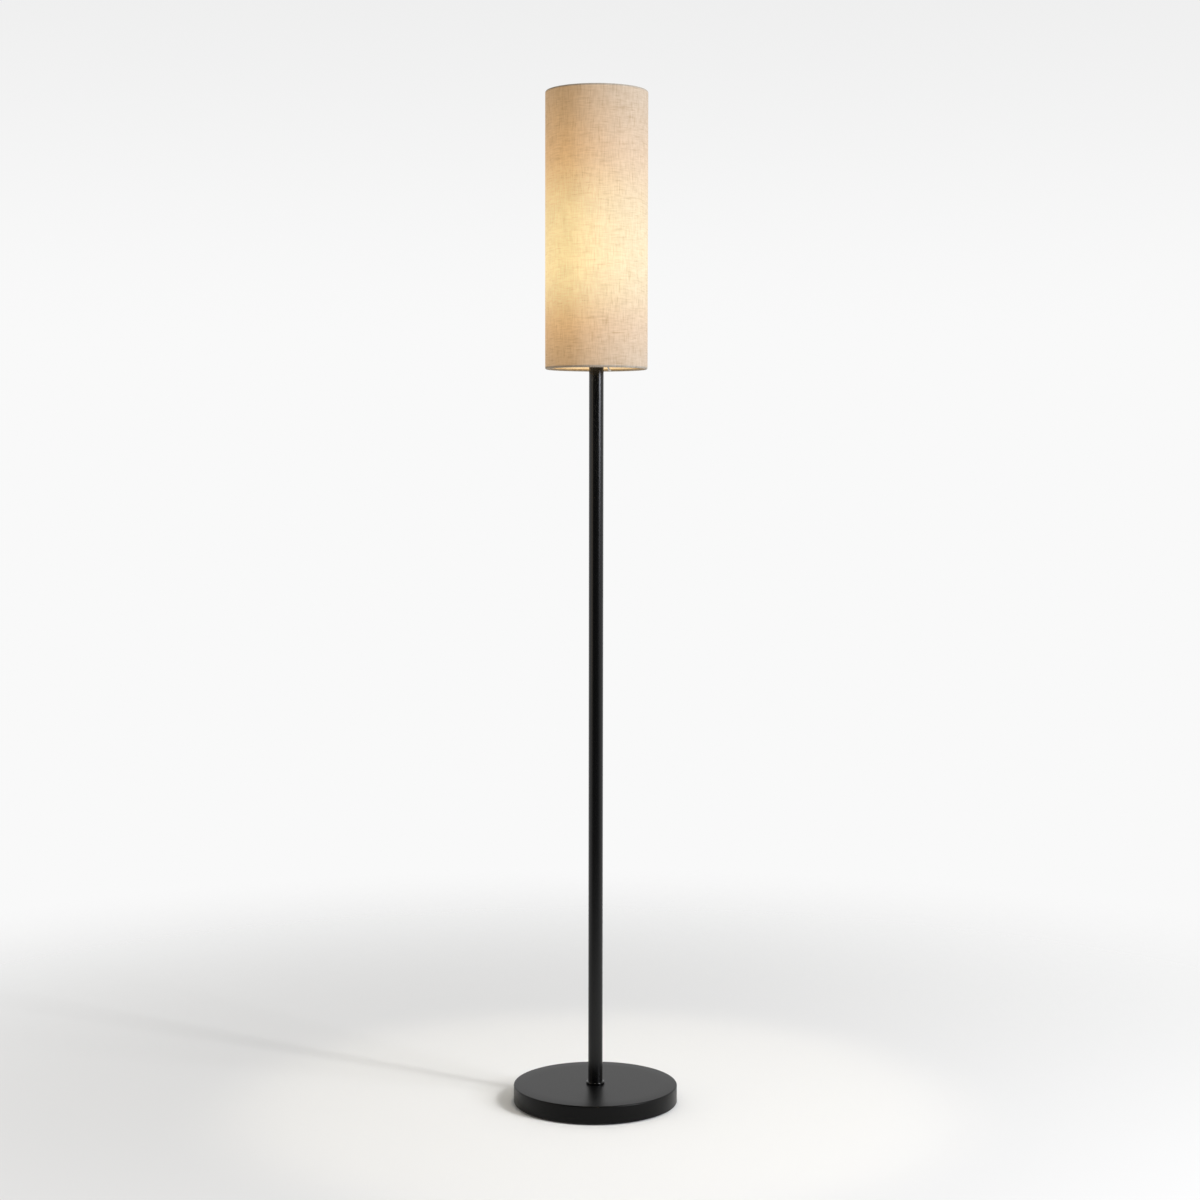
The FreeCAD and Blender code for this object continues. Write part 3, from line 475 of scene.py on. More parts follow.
# --- Cord inlet ----------------------------------------------------------------------------------
# A black nylon bush lines the hole in the back of the cover, where a cord would go in. A thin
# hexagonal nut holds it from inside. Its mouth is rounded so that it can't cut a cord.
# Moulded nylon: black, with the dull skin of the mould.
nylon, shader = grained("black_nylon", "121213", 0.46, 0.4, 0.006)
inlet_bore = 3.3
inlet_barrel = 5.0
inlet_flange = 7.0
inlet_depth = 10.0
inlet_stand = 2.5
inlet_edge = 0.3
mouth_round = 0.9
flange_round = 0.8
bush_profile = (
    arc((inlet_bore + mouth_round, inlet_stand - mouth_round), mouth_round, 180, 90, 4)
    + arc((inlet_flange - flange_round, inlet_stand - flange_round), flange_round, 90, 0, 4)
    + [(inlet_flange, 0.05), (inlet_barrel, 0.05), (inlet_barrel, inlet_edge - inlet_depth)]
    + [(inlet_barrel - inlet_edge, -inlet_depth), (inlet_bore + inlet_edge, -inlet_depth)]
    + [(inlet_bore, inlet_edge - inlet_depth)]
)
bush = turned("lead_bush", bush_profile, 64)
bush.rotation_euler = (-math.pi / 2, 0, 0)
bush.location = (0, high.y, inlet_level)
fitted(smoothed(settled(bush)), "stand", "black_plastic", nylon, "cord_inlet")
finish_nodes(nylon, "inlet_nut")


# --- Terminal block and wires --------------------------------------------------------------------
# A two-way block of clear nylon hangs under the weight. Two single wires, brown and blue, run from
# it through the threaded tubes and the pole, up to the lampholder.
# Drawn brass is warm and half bright, natural nylon a cloudy white, and the wires' sheaths smooth.
brass, shader = grained("drawn_brass", "B08D4A", 0.3, 0.6, 0.003, metallic=1.0, drift=0.12)
clear_nylon, shader = grained("natural_nylon", "D8D2C2", 0.4, 0.8, 0.004)
brown_pvc, shader = grained("brown_pvc", "5A3420", 0.42, 0.5, 0.002)
blue_pvc, shader = grained("blue_pvc", "2A5CA8", 0.42, 0.5, 0.002)
finish_nodes(clear_nylon, "terminal_block")
finish_nodes(brass, "terminal_barrels", "terminal_block_screws")
finish_nodes(zinc, "block_fixing_screw")
finish_nodes(brown_pvc, "live_wire")
finish_nodes(blue_pvc, "neutral_wire")


# --- Foot collar ---------------------------------------------------------------------------------
# A small turned ring hides the joint between the pole and the base. It is enamelled black and is
# glossier than what it stands on.
# Baked enamel: deep black and smooth, with small clear lights on its edges.
enamel, shader = grained("black_enamel", "060606", 0.2, 2.0, 0.003, spread=0.03)
shader.inputs["Specular IOR Level"].default_value = 0.3
low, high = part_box("foot_collar")
ring_radius = high.x / mm
ring_foot = low.z / mm
ring_top = high.z / mm
ring_bore = 11.05
ring_round = 1.6
ring_profile = (
    [(ring_bore, ring_foot), (ring_radius - 0.4, ring_foot)]
    + arc((ring_radius - 0.4, ring_foot + 0.4), 0.4, -90, 0, 3)
    + arc((ring_radius - ring_round, ring_top - ring_round), ring_round, 0, 90, 8)
    + arc((ring_bore + 0.4, ring_top - 0.4), 0.4, 90, 180, 3)
)
ring = smoothed(turned("pole_ring", ring_profile, 96))
fitted(ring, "stand", "black_paint", enamel, "foot_collar")


# --- Pole ----------------------------------------------------------------------------------------
# One length of 22 mm steel tube, powder coated satin black, with a threaded bush pressed into each
# end. The upper bush has a thin flange that the lampholder stands on.
# Powder coat sprayed thinner than on the base, and glossier, so that the light runs down it.
satin_coat, shader = grained("black_satin_coat", "080808", 0.24, 1.1, 0.003, spread=0.03)
shader.inputs["Specular IOR Level"].default_value = 0.32

low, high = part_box("pole_tube")
pole_radius = high.x / mm
pole_foot = low.z / mm
pole_top = high.z / mm
pole_wall = 1.2
pole_edge = 0.4
pole_bore = pole_radius - pole_wall
pole_profile = (
    [(pole_bore, pole_foot), (pole_radius, pole_foot)]
    + [(pole_radius, pole_foot + (pole_top - pole_foot) * step / 12) for step in range(1, 12)]
    + arc((pole_radius - pole_edge, pole_top - pole_edge), pole_edge, 0, 90, 3)
    + [(pole_bore, pole_top)]
)
pole = smoothed(turned("pole_column", pole_profile, 96))
fitted(pole, "stand", "black_paint", satin_coat, "pole_tube")

low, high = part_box("pole_top_bush")
flange_top = high.z / mm
bush_radius = pole_bore - 0.05
bush_hole = 5.05
flange_profile = (
    [(bush_hole, low.z / mm), (bush_radius, low.z / mm), (bush_radius, pole_top)]
    + [(pole_radius - 0.3, pole_top)]
    + arc((pole_radius - 0.5, pole_top + 0.5), 0.5, -60, 0, 3)
    + arc((pole_radius - 0.5, flange_top - 0.5), 0.5, 0, 90, 3)
    + [(bush_hole, flange_top)]
)
top_bush = smoothed(turned("pole_flange", flange_profile, 96))
fitted(top_bush, "stand", "black_paint", satin_coat, "pole_top_bush")
finish_nodes(zinc, "pole_foot_bush", "holder_nipple")


# --- Lampholder ----------------------------------------------------------------------------------
# The lampholder is moulded from black phenolic resin in two halves, a domed cap and a skirt with a
# flange and an outer thread. Between them they hold a porcelain core with brass contacts.
# Phenolic resin leaves the mould black and fairly glossy, and porcelain is glazed off-white.
phenolic, shader = grained("black_phenolic", "101011", 0.3, 0.7, 0.005)
porcelain, shader = grained("glazed_porcelain", "E4E2DA", 0.22, 1.5, 0.004)
finish_nodes(phenolic, "holder_cap", "cap_lock_screw")
finish_nodes(porcelain, "holder_core")
finish_nodes(
    brass, "centre_contact", "contact_rivets", "holder_terminals", "holder_terminal_screws",
    "switch_leaves",
)


def risen(radius, foot, top, step):
    """Profile points up a straight wall, about one step apart, for a thread to be cut in."""
    count = max(1, round((top - foot) / step))
    return [(radius, foot + (top - foot) * number / count) for number in range(count + 1)]


def with_thread(piece, least, depth, pitch, foot, top):
    """Rolls a round thread into the walls of a piece that lie beyond a least radius, in mm."""
    for point in piece.data.vertices:
        radius = math.hypot(point.co.x, point.co.y) / mm
        level = point.co.z / mm
        if radius < least or not foot < level < top:
            continue
        run_out = min(1.0, (level - foot) / pitch * 2, (top - level) / pitch * 2)
        turn = math.atan2(point.co.y, point.co.x) / (2 * math.pi)
        dip = depth * run_out * (0.5 - 0.5 * math.cos(2 * math.pi * (level / pitch - turn)))
        share = (radius - dip) / radius
        point.co.x *= share
        point.co.y *= share
    piece.data.update()
    return smoothed(piece, 50)


low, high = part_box("holder_skirt")
skirt_foot = low.z / mm
skirt_top = high.z / mm
flange_radius = high.x / mm
thread_length = 16.0
flange_thickness = 3.0
seat_level = skirt_top - thread_length
flange_foot = seat_level - flange_thickness
collar_radius = 21.0
collar_bore = 19.2
thread_radius = 19.85
thread_depth = 0.7
thread_pitch = 3.2
skirt_bore = 17.25
lip_thickness = 1.5
mouth_radius = 13.85
skirt_profile = (
    [(collar_bore, skirt_foot), (collar_radius - 0.4, skirt_foot)]
    + arc((collar_radius - 0.4, skirt_foot + 0.4), 0.4, -90, 0, 3)
    + [(collar_radius, flange_foot - 0.8)]
    + arc((collar_radius + 0.8, flange_foot - 0.8), 0.8, 180, 90, 3)
    + arc((flange_radius - 0.5, flange_foot + 0.5), 0.5, -90, 0, 3)
    + arc((flange_radius - 0.5, seat_level - 0.5), 0.5, 0, 90, 3)
    + [(thread_radius + 0.1, seat_level)]
    + risen(thread_radius, seat_level + 0.3, skirt_top - 0.5, 0.35)
    + [(thread_radius - 0.5, skirt_top), (mouth_radius + 0.5, skirt_top)]
    + [(mouth_radius, skirt_top - 0.5), (mouth_radius, skirt_top - lip_thickness)]
    + [(skirt_bore, skirt_top - lip_thickness)]
    + [(skirt_bore, seat_level - 1.4), (collar_bore, seat_level - 1.4)]
)
skirt = with_thread(
    turned("holder_sleeve", skirt_profile, 96), 18.0, thread_depth, thread_pitch,
    seat_level + 0.3, skirt_top - 0.5,
)
fitted(skirt, "stand", "black_plastic", phenolic, "holder_skirt")

low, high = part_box("screw_shell")
shell_foot = low.z / mm
shell_top = high.z / mm
shell_radius = 14.3          # the thread rolls in from here and stays clear of the bulb's
shell_wall = 0.4
shell_hole = 9.4
cap_pitch = 3.62             # of the thread on screw caps of this size
shell_profile = (
    [(shell_hole, shell_foot), (shell_radius, shell_foot)]
    + risen(shell_radius, shell_foot + 0.3, shell_top, 0.45)
    + risen(shell_radius - shell_wall, shell_foot + shell_wall, shell_top, 0.45)[::-1]
    + [(shell_hole, shell_foot + shell_wall)]
)
shell = with_thread(
    turned("socket_shell", shell_profile, 72), 13.0, thread_depth, cap_pitch,
    shell_foot + 3.0, shell_top - 0.5,
)
fitted(shell, "stand", "brass", brass, "screw_shell")


# --- Clamp ring ----------------------------------------------------------------------------------
# A moulded ring screws down the skirt's thread on to the shade's fitter. Its rim has twelve notches
# for the fingers.
low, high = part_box("clamp_ring")
clamp_foot = low.z / mm
clamp_top = high.z / mm
clamp_rim = 24.75
clamp_wall_outside = 22.55
clamp_bore = 20.15
notch_count = 12
notch_radius = 1.5
notch_depth = 1.0
clamp_profile = (
    [(clamp_bore, clamp_foot), (clamp_rim - 0.3, clamp_foot)]
    + arc((clamp_rim - 0.3, clamp_foot + 0.3), 0.3, -90, 0, 2)
    + arc((clamp_rim - 0.4, clamp_foot + 1.6), 0.4, 0, 90, 3)
    + [(clamp_wall_outside + 0.4, clamp_foot + 2.0), (clamp_wall_outside, clamp_foot + 2.4)]
    + arc((clamp_wall_outside - 0.5, clamp_top - 0.5), 0.5, 0, 90, 3)
    + [(clamp_bore + 0.3, clamp_top), (clamp_bore, clamp_top - 0.3)]
)
clamp = turned("shade_clamp", clamp_profile, 144)
bpy.ops.object.select_all(action="DESELECT")
bpy.ops.mesh.primitive_cylinder_add(
    vertices=24, radius=notch_radius * mm, depth=10 * mm,
    location=((clamp_rim + notch_radius - notch_depth) * mm, 0, clamp_foot * mm),
)
notches = repeated(settled(bpy.context.object), notch_count, 0, "notches")
clamp = smoothed(less(clamp, notches))
fitted(clamp, "stand", "black_plastic", phenolic, "clamp_ring")


# --- Switch --------------------------------------------------------------------------------------
# The rotary switch is worked by a fluted black knob on a moulded shaft, out of the front of the
# lampholder. The knob is pushed on the shaft's flat.
low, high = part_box("switch_knob")
knob_level = (low.z + high.z) / 2
knob_radius = 6.5
knob_round = 1.2
knob_length = (high.y - low.y) / mm
flute_count = 12
flute_radius = 0.9
flute_depth = 0.5
flute_foot = 1.2
knob_profile = (
    [(0, 0), (knob_radius - 0.3, 0), (knob_radius, 0.3), (knob_radius, flute_foot)]
    + arc((knob_radius - knob_round, knob_length - knob_round), knob_round, 0, 90, 4)
    + [(2.6, knob_length), (2.2, knob_length - 0.3), (0, knob_length - 0.5)]
)
knob = turned("switch_grip", knob_profile, 96, closed=False)
bpy.ops.object.select_all(action="DESELECT")
flute_place = (knob_radius + flute_radius - flute_depth, 0, flute_foot + knob_length / 2)
bpy.ops.mesh.primitive_cylinder_add(
    vertices=20, radius=flute_radius * mm, depth=knob_length * mm,
    location=Vector(flute_place) * mm,
)
knob = less(knob, repeated(settled(bpy.context.object), flute_count, 0, "flutes"))
knob.rotation_euler = (math.pi / 2, 0, 0)
knob.location = (0, high.y, knob_level)
fitted(smoothed(settled(knob), 28), "switch", "black_plastic", phenolic, "switch_knob")
finish_nodes(nylon, "switch_rotor")


# --- Shade frame ---------------------------------------------------------------------------------
# Three bent steel wires join the shade's lower rim wire to a flat steel fitter that sits on the
# lampholder's flange. They are spot welded and painted white before the cover is glued on.
# Dipped wire enamel: warm white, with a soft shine and a slightly lumpy skin.
white_paint, shader = grained("white_wire_enamel", "DEDCD6", 0.4, 0.8, 0.006)
finish_nodes(white_paint, "shade_top_wire", "shade_bottom_wire")

low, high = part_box("fitter_ring")
fitter_foot = low.z / mm
fitter_top = high.z / mm
fitter_radius = 30.85
fitter_bore = 20.85
fitter_edge = 0.4
fitter_profile = (
    arc((fitter_bore + fitter_edge, fitter_foot + fitter_edge), fitter_edge, 180, 270, 3)
    + arc((fitter_radius - fitter_edge, fitter_foot + fitter_edge), fitter_edge, -90, 0, 3)
    + arc((fitter_radius - fitter_edge, fitter_top - fitter_edge), fitter_edge, 0, 90, 3)
    + arc((fitter_bore + fitter_edge, fitter_top - fitter_edge), fitter_edge, 90, 180, 3)
)
fitter = smoothed(turned("shade_seat", fitter_profile, 96))
fitted(fitter, "shade", "white_wire", white_paint, "fitter_ring")

spoke_count = 3
first_spoke = 73             # degrees from the right
wire = 1.5                   # the wire's radius
spoke_foot = 1120.1
spoke_level = fitter_top + wire
spoke_upright = 60.0
spoke_bend = 9.0
spoke_start = 73.3
spoke_end = 26.4
bend_steps = 8
bpy.ops.object.select_all(action="DESELECT")
bpy.ops.mesh.primitive_circle_add(
    vertices=16, radius=wire * mm, fill_type="NGON",
    location=(spoke_start * mm, 0, spoke_foot * mm), rotation=(0, math.pi / 2, 0),
)
spokes = settled(bpy.context.object)
bpy.ops.object.mode_set(mode="EDIT")
bpy.ops.mesh.select_all(action="SELECT")
bpy.ops.mesh.extrude_region_move(
    TRANSFORM_OT_translate={"value": ((spoke_upright + spoke_bend - spoke_start) * mm, 0, 0)}
)
bpy.ops.mesh.spin(
    steps=bend_steps, angle=-math.pi / 2, axis=(0, 1, 0),
    center=((spoke_upright + spoke_bend) * mm, 0, (spoke_foot + spoke_bend) * mm),
)
bpy.ops.mesh.extrude_region_move(
    TRANSFORM_OT_translate={"value": (0, 0, (spoke_level - spoke_foot - 2 * spoke_bend) * mm)}
)
bpy.ops.mesh.spin(
    steps=bend_steps, angle=math.pi / 2, axis=(0, 1, 0),
    center=((spoke_upright - spoke_bend) * mm, 0, (spoke_level - spoke_bend) * mm),
)
bpy.ops.mesh.extrude_region_move(
    TRANSFORM_OT_translate={"value": ((spoke_end - spoke_upright + spoke_bend) * mm, 0, 0)}
)
bpy.ops.mesh.select_all(action="SELECT")
bpy.ops.mesh.remove_doubles(threshold=0.01 * mm)
bpy.ops.mesh.normals_make_consistent(inside=False)
bpy.ops.object.mode_set(mode="OBJECT")

# A small bead of weld joins each wire to the fitter and to the rim wire.
bead_places = ((28.4, 0, fitter_top + 0.5), (72.9, 0, spoke_foot))
bead_size = (2.6, 2.0, 1.3)
beads = []
for place in bead_places:
    bpy.ops.object.select_all(action="DESELECT")
    bpy.ops.mesh.primitive_uv_sphere_add(
        segments=20, ring_count=12, radius=1, location=Vector(place) * mm
    )
    bead = bpy.context.object
    bead.scale = Vector(bead_size) * mm
    beads.append(settled(bead))
bpy.ops.object.select_all(action="DESELECT")
for piece in (*beads, spokes):
    piece.select_set(True)
bpy.context.view_layer.objects.active = spokes
bpy.ops.object.join()
spokes = smoothed(repeated(spokes, spoke_count, first_spoke, "shade_spokes"), 50)
fitted(spokes, "shade", "white_wire", white_paint, "fitter_arms")


# --- Bulb ----------------------------------------------------------------------------------------
# A round LED bulb: a nickel-plated screw cap with its black glass insulator, a white plastic body
# that flares up from it, and a milky dome that glows warm all over.
# Nickel plate is bright and faintly yellow, the glass a deep shiny black, and the plastic silky.
nickel, shader = grained("nickel_plate", "B9B7B0", 0.24, 0.5, 0.003, metallic=1.0, drift=0.1)
glass, shader = grained("black_glass", "08080A", 0.12, 1.0, 0.002)
tin, shader = grained("solder_tin", "A7A7A4", 0.4, 0.4, 0.02, metallic=1.0)
body_plastic, shader = grained("white_polyester", "E2E1DC", 0.42, 0.6, 0.003)
board_white, shader = grained("white_aluminium_board", "D9DBD8", 0.4, 1.0, 0.003)
phosphor, shader = grained("yellow_phosphor", "E2C24A", 0.5, 0.3, 0.004)
board_green, shader = grained("green_circuit_board", "1E5A34", 0.38, 0.8, 0.01)
sleeve, shader = grained("capacitor_sleeve", "161C33", 0.35, 0.6, 0.003)
finish_nodes(glass, "bulb_insulator")
finish_nodes(tin, "bulb_contact")
finish_nodes(board_white, "led_board")
finish_nodes(phosphor, "led_chips")
finish_nodes(board_green, "driver_board")
finish_nodes(sleeve, "driver_capacitor")

low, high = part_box("bulb_screw_cap")
cap_foot = low.z / mm
cap_top = high.z / mm
cap_radius = high.x / mm
cap_wall = 0.35
cap_thread_depth = 1.0
cap_plain = 2.2              # at either end, where no thread is rolled
cap_profile = (
    [(cap_radius - 1.2, cap_foot + 0.6), (cap_radius - 0.9, cap_foot)]
    + risen(cap_radius, cap_foot + 1.0, cap_top - 1.6, 0.4)
    + [(cap_radius - cap_wall, cap_top - 1.1), (cap_radius, cap_top - 0.6)]
    + [(cap_radius, cap_top), (cap_radius - cap_wall, cap_top)]
    + risen(cap_radius - cap_wall, cap_foot + 1.0, cap_top - 1.6, 0.4)[::-1]
)
cap = with_thread(
    turned("bulb_thread", cap_profile, 96), cap_radius - 0.6, cap_thread_depth, cap_pitch,
    cap_foot + cap_plain, cap_top - cap_plain,
)
fitted(cap, "bulb", "nickel", nickel, "bulb_screw_cap")


def arc_through(start, middle, end, steps):
    """Profile points along the arc through three points."""
    (ax, ay), (bx, by), (cx, cy) = start, middle, end
    twice = 2 * (ax * (by - cy) + bx * (cy - ay) + cx * (ay - by))
    squares = (ax * ax + ay * ay, bx * bx + by * by, cx * cx + cy * cy)
    x = (squares[0] * (by - cy) + squares[1] * (cy - ay) + squares[2] * (ay - by)) / twice
    y = (squares[0] * (cx - bx) + squares[1] * (ax - cx) + squares[2] * (bx - ax)) / twice
    radius = math.hypot(ax - x, ay - y)
    first = math.degrees(math.atan2(ay - y, ax - x))
    last = math.degrees(math.atan2(cy - y, cx - x))
    if last - first > 180:
        last -= 360
    if first - last > 180:
        last += 360
    return arc((x, y), radius, first, last, steps)


low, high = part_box("bulb_globe")
dome_radius = high.x / mm
dome_centre = high.z / mm - dome_radius
rim_level = low.z / mm
rim_drop = dome_centre - rim_level
rim_radius = math.sqrt(dome_radius ** 2 - rim_drop ** 2)
neck_radius = 14.3
neck_top = cap_top + 4.0
tenon_bore = 11.2            # the body's foot reaches down inside the cap's thread
tenon_radius = 11.7
tenon_foot = cap_top - 6.9
body_wall = 1.6
board_seat = (rim_radius - 2 * body_wall, rim_level - 1.6)
waist = ((neck_radius + rim_radius) / 2 - body_wall, (neck_top + rim_level) / 2)
inner_waist = (waist[0] - body_wall, waist[1])
body_profile = (
    [(tenon_bore, tenon_foot), (tenon_radius, tenon_foot), (tenon_radius, cap_top + 0.05)]
    + arc((neck_radius - 0.5, cap_top + 0.55), 0.5, -90, 0, 3)
    + arc_through((neck_radius, neck_top), waist, (rim_radius, rim_level - 0.5), 16)
    + [(rim_radius - 0.3, rim_level), (rim_radius - body_wall, rim_level)]
    + [(rim_radius - body_wall, board_seat[1]), board_seat]
    + arc_through(board_seat, inner_waist, (tenon_bore, neck_top), 8)[1:]
)
body = smoothed(turned("bulb_body", body_profile, 96))
fitted(body, "bulb", "white_plastic", body_plastic, "bulb_housing")

# Milky polycarbonate, lit from inside by warm white chips, and a little less at its rim.
dome_glow = (0.75, 1.3)
opal, tree, shader = new_material("lit_opal_polycarbonate")
shader.inputs["Base Color"].default_value = colour("FFF6E6")
shader.inputs["Roughness"].default_value = 0.45
shader.inputs["Emission Color"].default_value = colour("FFDDA8")
spot = add_node(tree, "ShaderNodeTexCoord").outputs["Object"]
level = add_node(tree, "ShaderNodeSeparateXYZ", {}, {0: spot}).outputs["Z"]
glow = add_node(
    tree, "ShaderNodeMapRange",
    {"From Min": rim_level * mm, "From Max": (dome_centre + 10) * mm,
     "To Min": dome_glow[0], "To Max": dome_glow[1]},
    {"Value": level},
)
tree.links.new(glow.outputs["Result"], shader.inputs["Emission Strength"])
dome_wall = 1.2
lift = math.degrees(math.asin(-rim_drop / dome_radius))
inner_lift = math.degrees(math.asin(-rim_drop / (dome_radius - dome_wall)))
dome_profile = (
    arc((0, dome_centre), dome_radius, lift, 90, 32)
    + arc((0, dome_centre), dome_radius - dome_wall, 90, inner_lift, 16)
)
dome = smoothed(turned("bulb_dome", dome_profile, 96))
fitted(dome, "bulb", "opal", opal, "bulb_globe")


# --- Shade liner ---------------------------------------------------------------------------------
# A thin sheet of white styrene is rolled into a cylinder and lapped at the back. The linen is glued
# to its outside, and it spreads the bulb's light.
shade_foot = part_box("shade_linen")[0].z / mm
shade_radius = 77.0
liner_low, liner_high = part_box("shade_liner")
liner_foot = liner_low.z / mm
liner_top = liner_high.z / mm
liner_radius = 76.4
liner_wall = 0.3
liner_lap = 0.25
lap_width = 12.0
glow_level = 1283.0          # middle of the bulb's light on the shade
glow_reach_up = 260.0        # how far up and down the shade it fades
glow_reach_down = 185.0


def painted_glow_fall(tree, level):
    """The bulb's light painted on the shade as glow: strongest beside the bulb, less above and below
    it.
    """
    above = add_node(
        tree, "ShaderNodeMath", {"operation": "SUBTRACT", 1: glow_level * mm}, {0: level}
    )
    side = add_node(
        tree, "ShaderNodeMath", {"operation": "GREATER_THAN", 1: 0.0}, {0: above.outputs["Value"]}
    )
    reach = add_node(
        tree, "ShaderNodeMapRange", {"To Min": glow_reach_down * mm, "To Max": glow_reach_up * mm},
        {"Value": side.outputs["Value"]},
    )
    share = add_node(
        tree, "ShaderNodeMath", {"operation": "DIVIDE"},
        {0: above.outputs["Value"], 1: reach.outputs["Result"]},
    )
    square = add_node(
        tree, "ShaderNodeMath", {"operation": "MULTIPLY"},
        {0: share.outputs["Value"], 1: share.outputs["Value"]},
    )
    more = add_node(
        tree, "ShaderNodeMath", {"operation": "ADD", 1: 1.0}, {0: square.outputs["Value"]}
    )
    return add_node(
        tree, "ShaderNodeMath", {"operation": "POWER", 1: -1.5}, {0: more.outputs["Value"]}
    ).outputs["Value"]


# White polystyrene, matt, with the bulb's light painted into it as glow: so much everywhere, and as
# much again beside the bulb.
painted_liner_glow = 0.3
styrene, shader = grained("white_styrene", "EFE7D6", 0.5, 1.5, 0.004, drift=0.03)
tree = styrene.node_tree
shader.inputs["Emission Color"].default_value = colour("FFE2B4")
spot = add_node(tree, "ShaderNodeTexCoord").outputs["Object"]
level = add_node(tree, "ShaderNodeSeparateXYZ", {}, {0: spot}).outputs["Z"]
glow = add_node(
    tree, "ShaderNodeMath", {"operation": "MULTIPLY_ADD", 1: painted_liner_glow, 2: painted_liner_glow},
    {0: painted_glow_fall(tree, level)},
)
tree.links.new(glow.outputs["Value"], shader.inputs["Emission Strength"])

liner_profile = (
    risen(liner_radius, liner_foot, liner_top, 40)
    + risen(liner_radius - liner_wall, liner_foot, liner_top, 40)[::-1]
)
liner = turned("shade_lining", liner_profile, 240)


def lapped(piece, wall_radius, width, rise):
    """Thickens a strip of a round wall at the back, where one end of the sheet laps the other."""
    bpy.ops.object.select_all(action="DESELECT")
    bpy.context.view_layer.objects.active = piece
    piece.select_set(True)
    bpy.ops.object.mode_set(mode="EDIT")
    bpy.ops.mesh.select_all(action="DESELECT")
    bpy.ops.object.mode_set(mode="OBJECT")
    for face in piece.data.polygons:
        middle = face.center
        turn = math.atan2(middle.x, middle.y)
        on_wall = abs(math.hypot(middle.x, middle.y) / mm - wall_radius) < 0.1
        outward = face.normal.x * middle.x + face.normal.y * middle.y
        face.select = on_wall and abs(turn) * wall_radius < width / 2 and outward * rise > 0
    bpy.ops.object.mode_set(mode="EDIT")
    bpy.ops.mesh.select_mode(type="FACE")
    bpy.ops.mesh.extrude_region_shrink_fatten(
        TRANSFORM_OT_shrink_fatten={"value": abs(rise) * mm}
    )
    bpy.ops.mesh.select_mode(type="VERT")
    bpy.ops.object.mode_set(mode="OBJECT")
    return smoothed(piece, 30)


lapped(liner, liner_radius - liner_wall, lap_width, -liner_lap)
fitted(liner, "shade", "liner", styrene, "shade_liner")


# --- Shade cover ---------------------------------------------------------------------------------
# Natural linen, loosely woven from uneven yarn. It is stretched and glued round the lining, lapped
# at the back, and turned over the rim wires at both ends, where it is double and stops the light.
# The bulb's light through it is painted on as glow.
cloth = 0.45
cloth_lap = 0.4
hem_radius = 2.1
rim_circle = shade_radius - hem_radius
low_rim = shade_foot + hem_radius
high_rim = lamp_top / mm - hem_radius

# Raw linen: dull, greyish beige, darker where a thick yarn runs, with a faint bloom at its edge.
linen, tree, shader = new_material("natural_linen")
shader.inputs["Roughness"].default_value = 0.92
shader.inputs["Specular IOR Level"].default_value = 0.15
shader.inputs["Sheen Weight"].default_value = 0.12
shader.inputs["Sheen Roughness"].default_value = 0.6
spot = add_node(tree, "ShaderNodeTexCoord").outputs["Object"]
axes = add_node(tree, "ShaderNodeSeparateXYZ", {}, {0: spot}).outputs
front = add_node(tree, "ShaderNodeMath", {"operation": "MULTIPLY", 1: -1.0}, {0: axes["Y"]})
turn = add_node(
    tree, "ShaderNodeMath", {"operation": "ARCTAN2"}, {0: axes["X"], 1: front.outputs["Value"]}
)
across = add_node(
    tree, "ShaderNodeMath", {"operation": "MULTIPLY", 1: shade_radius * mm},
    {0: turn.outputs["Value"]},
).outputs["Value"]
up = axes["Z"]
yarn_step = 7.3              # how far apart two yarns lie in the noise, so that they look unlike


def yarn(width, length, upright, seed):
    """Yarns of a width in mm, upright or round the shade, each uneven over a length in mm."""
    side, run = (across, up) if upright else (up, across)
    lane = add_node(tree, "ShaderNodeMath", {"operation": "SNAP", 1: width * mm}, {0: side})
    apart = add_node(
        tree, "ShaderNodeMath", {"operation": "MULTIPLY", 1: yarn_step / (width * mm)},
        {0: lane.outputs["Value"]},
    )
    along = add_node(
        tree, "ShaderNodeMath", {"operation": "MULTIPLY", 1: 1 / (length * mm)}, {0: run}
    )
    place = add_node(
        tree, "ShaderNodeCombineXYZ", {"Z": seed},
        {"X": apart.outputs["Value"], "Y": along.outputs["Value"]},
    )
    return add_node(
        tree, "ShaderNodeTexNoise", {"Scale": 1.0, "Detail": 1.0, "Roughness": 0.5},
        {"Vector": place.outputs["Vector"]},
    ).outputs["Fac"]


def picked(value, least, most):
    """The part of a pattern between two of its values, as 0 to 1."""
    return add_node(
        tree, "ShaderNodeMapRange",
        {"interpolation_type": "SMOOTHSTEP", "From Min": least, "From Max": most}, {"Value": value}
    ).outputs["Result"]


def summed(first, first_share, second, second_share):
    """Two patterns added, each by its share."""
    one = add_node(tree, "ShaderNodeMath", {"operation": "MULTIPLY", 1: first_share}, {0: first})
    return add_node(
        tree, "ShaderNodeMath", {"operation": "MULTIPLY_ADD", 1: second_share},
        {0: second, 2: one.outputs["Value"]},
    ).outputs["Value"]


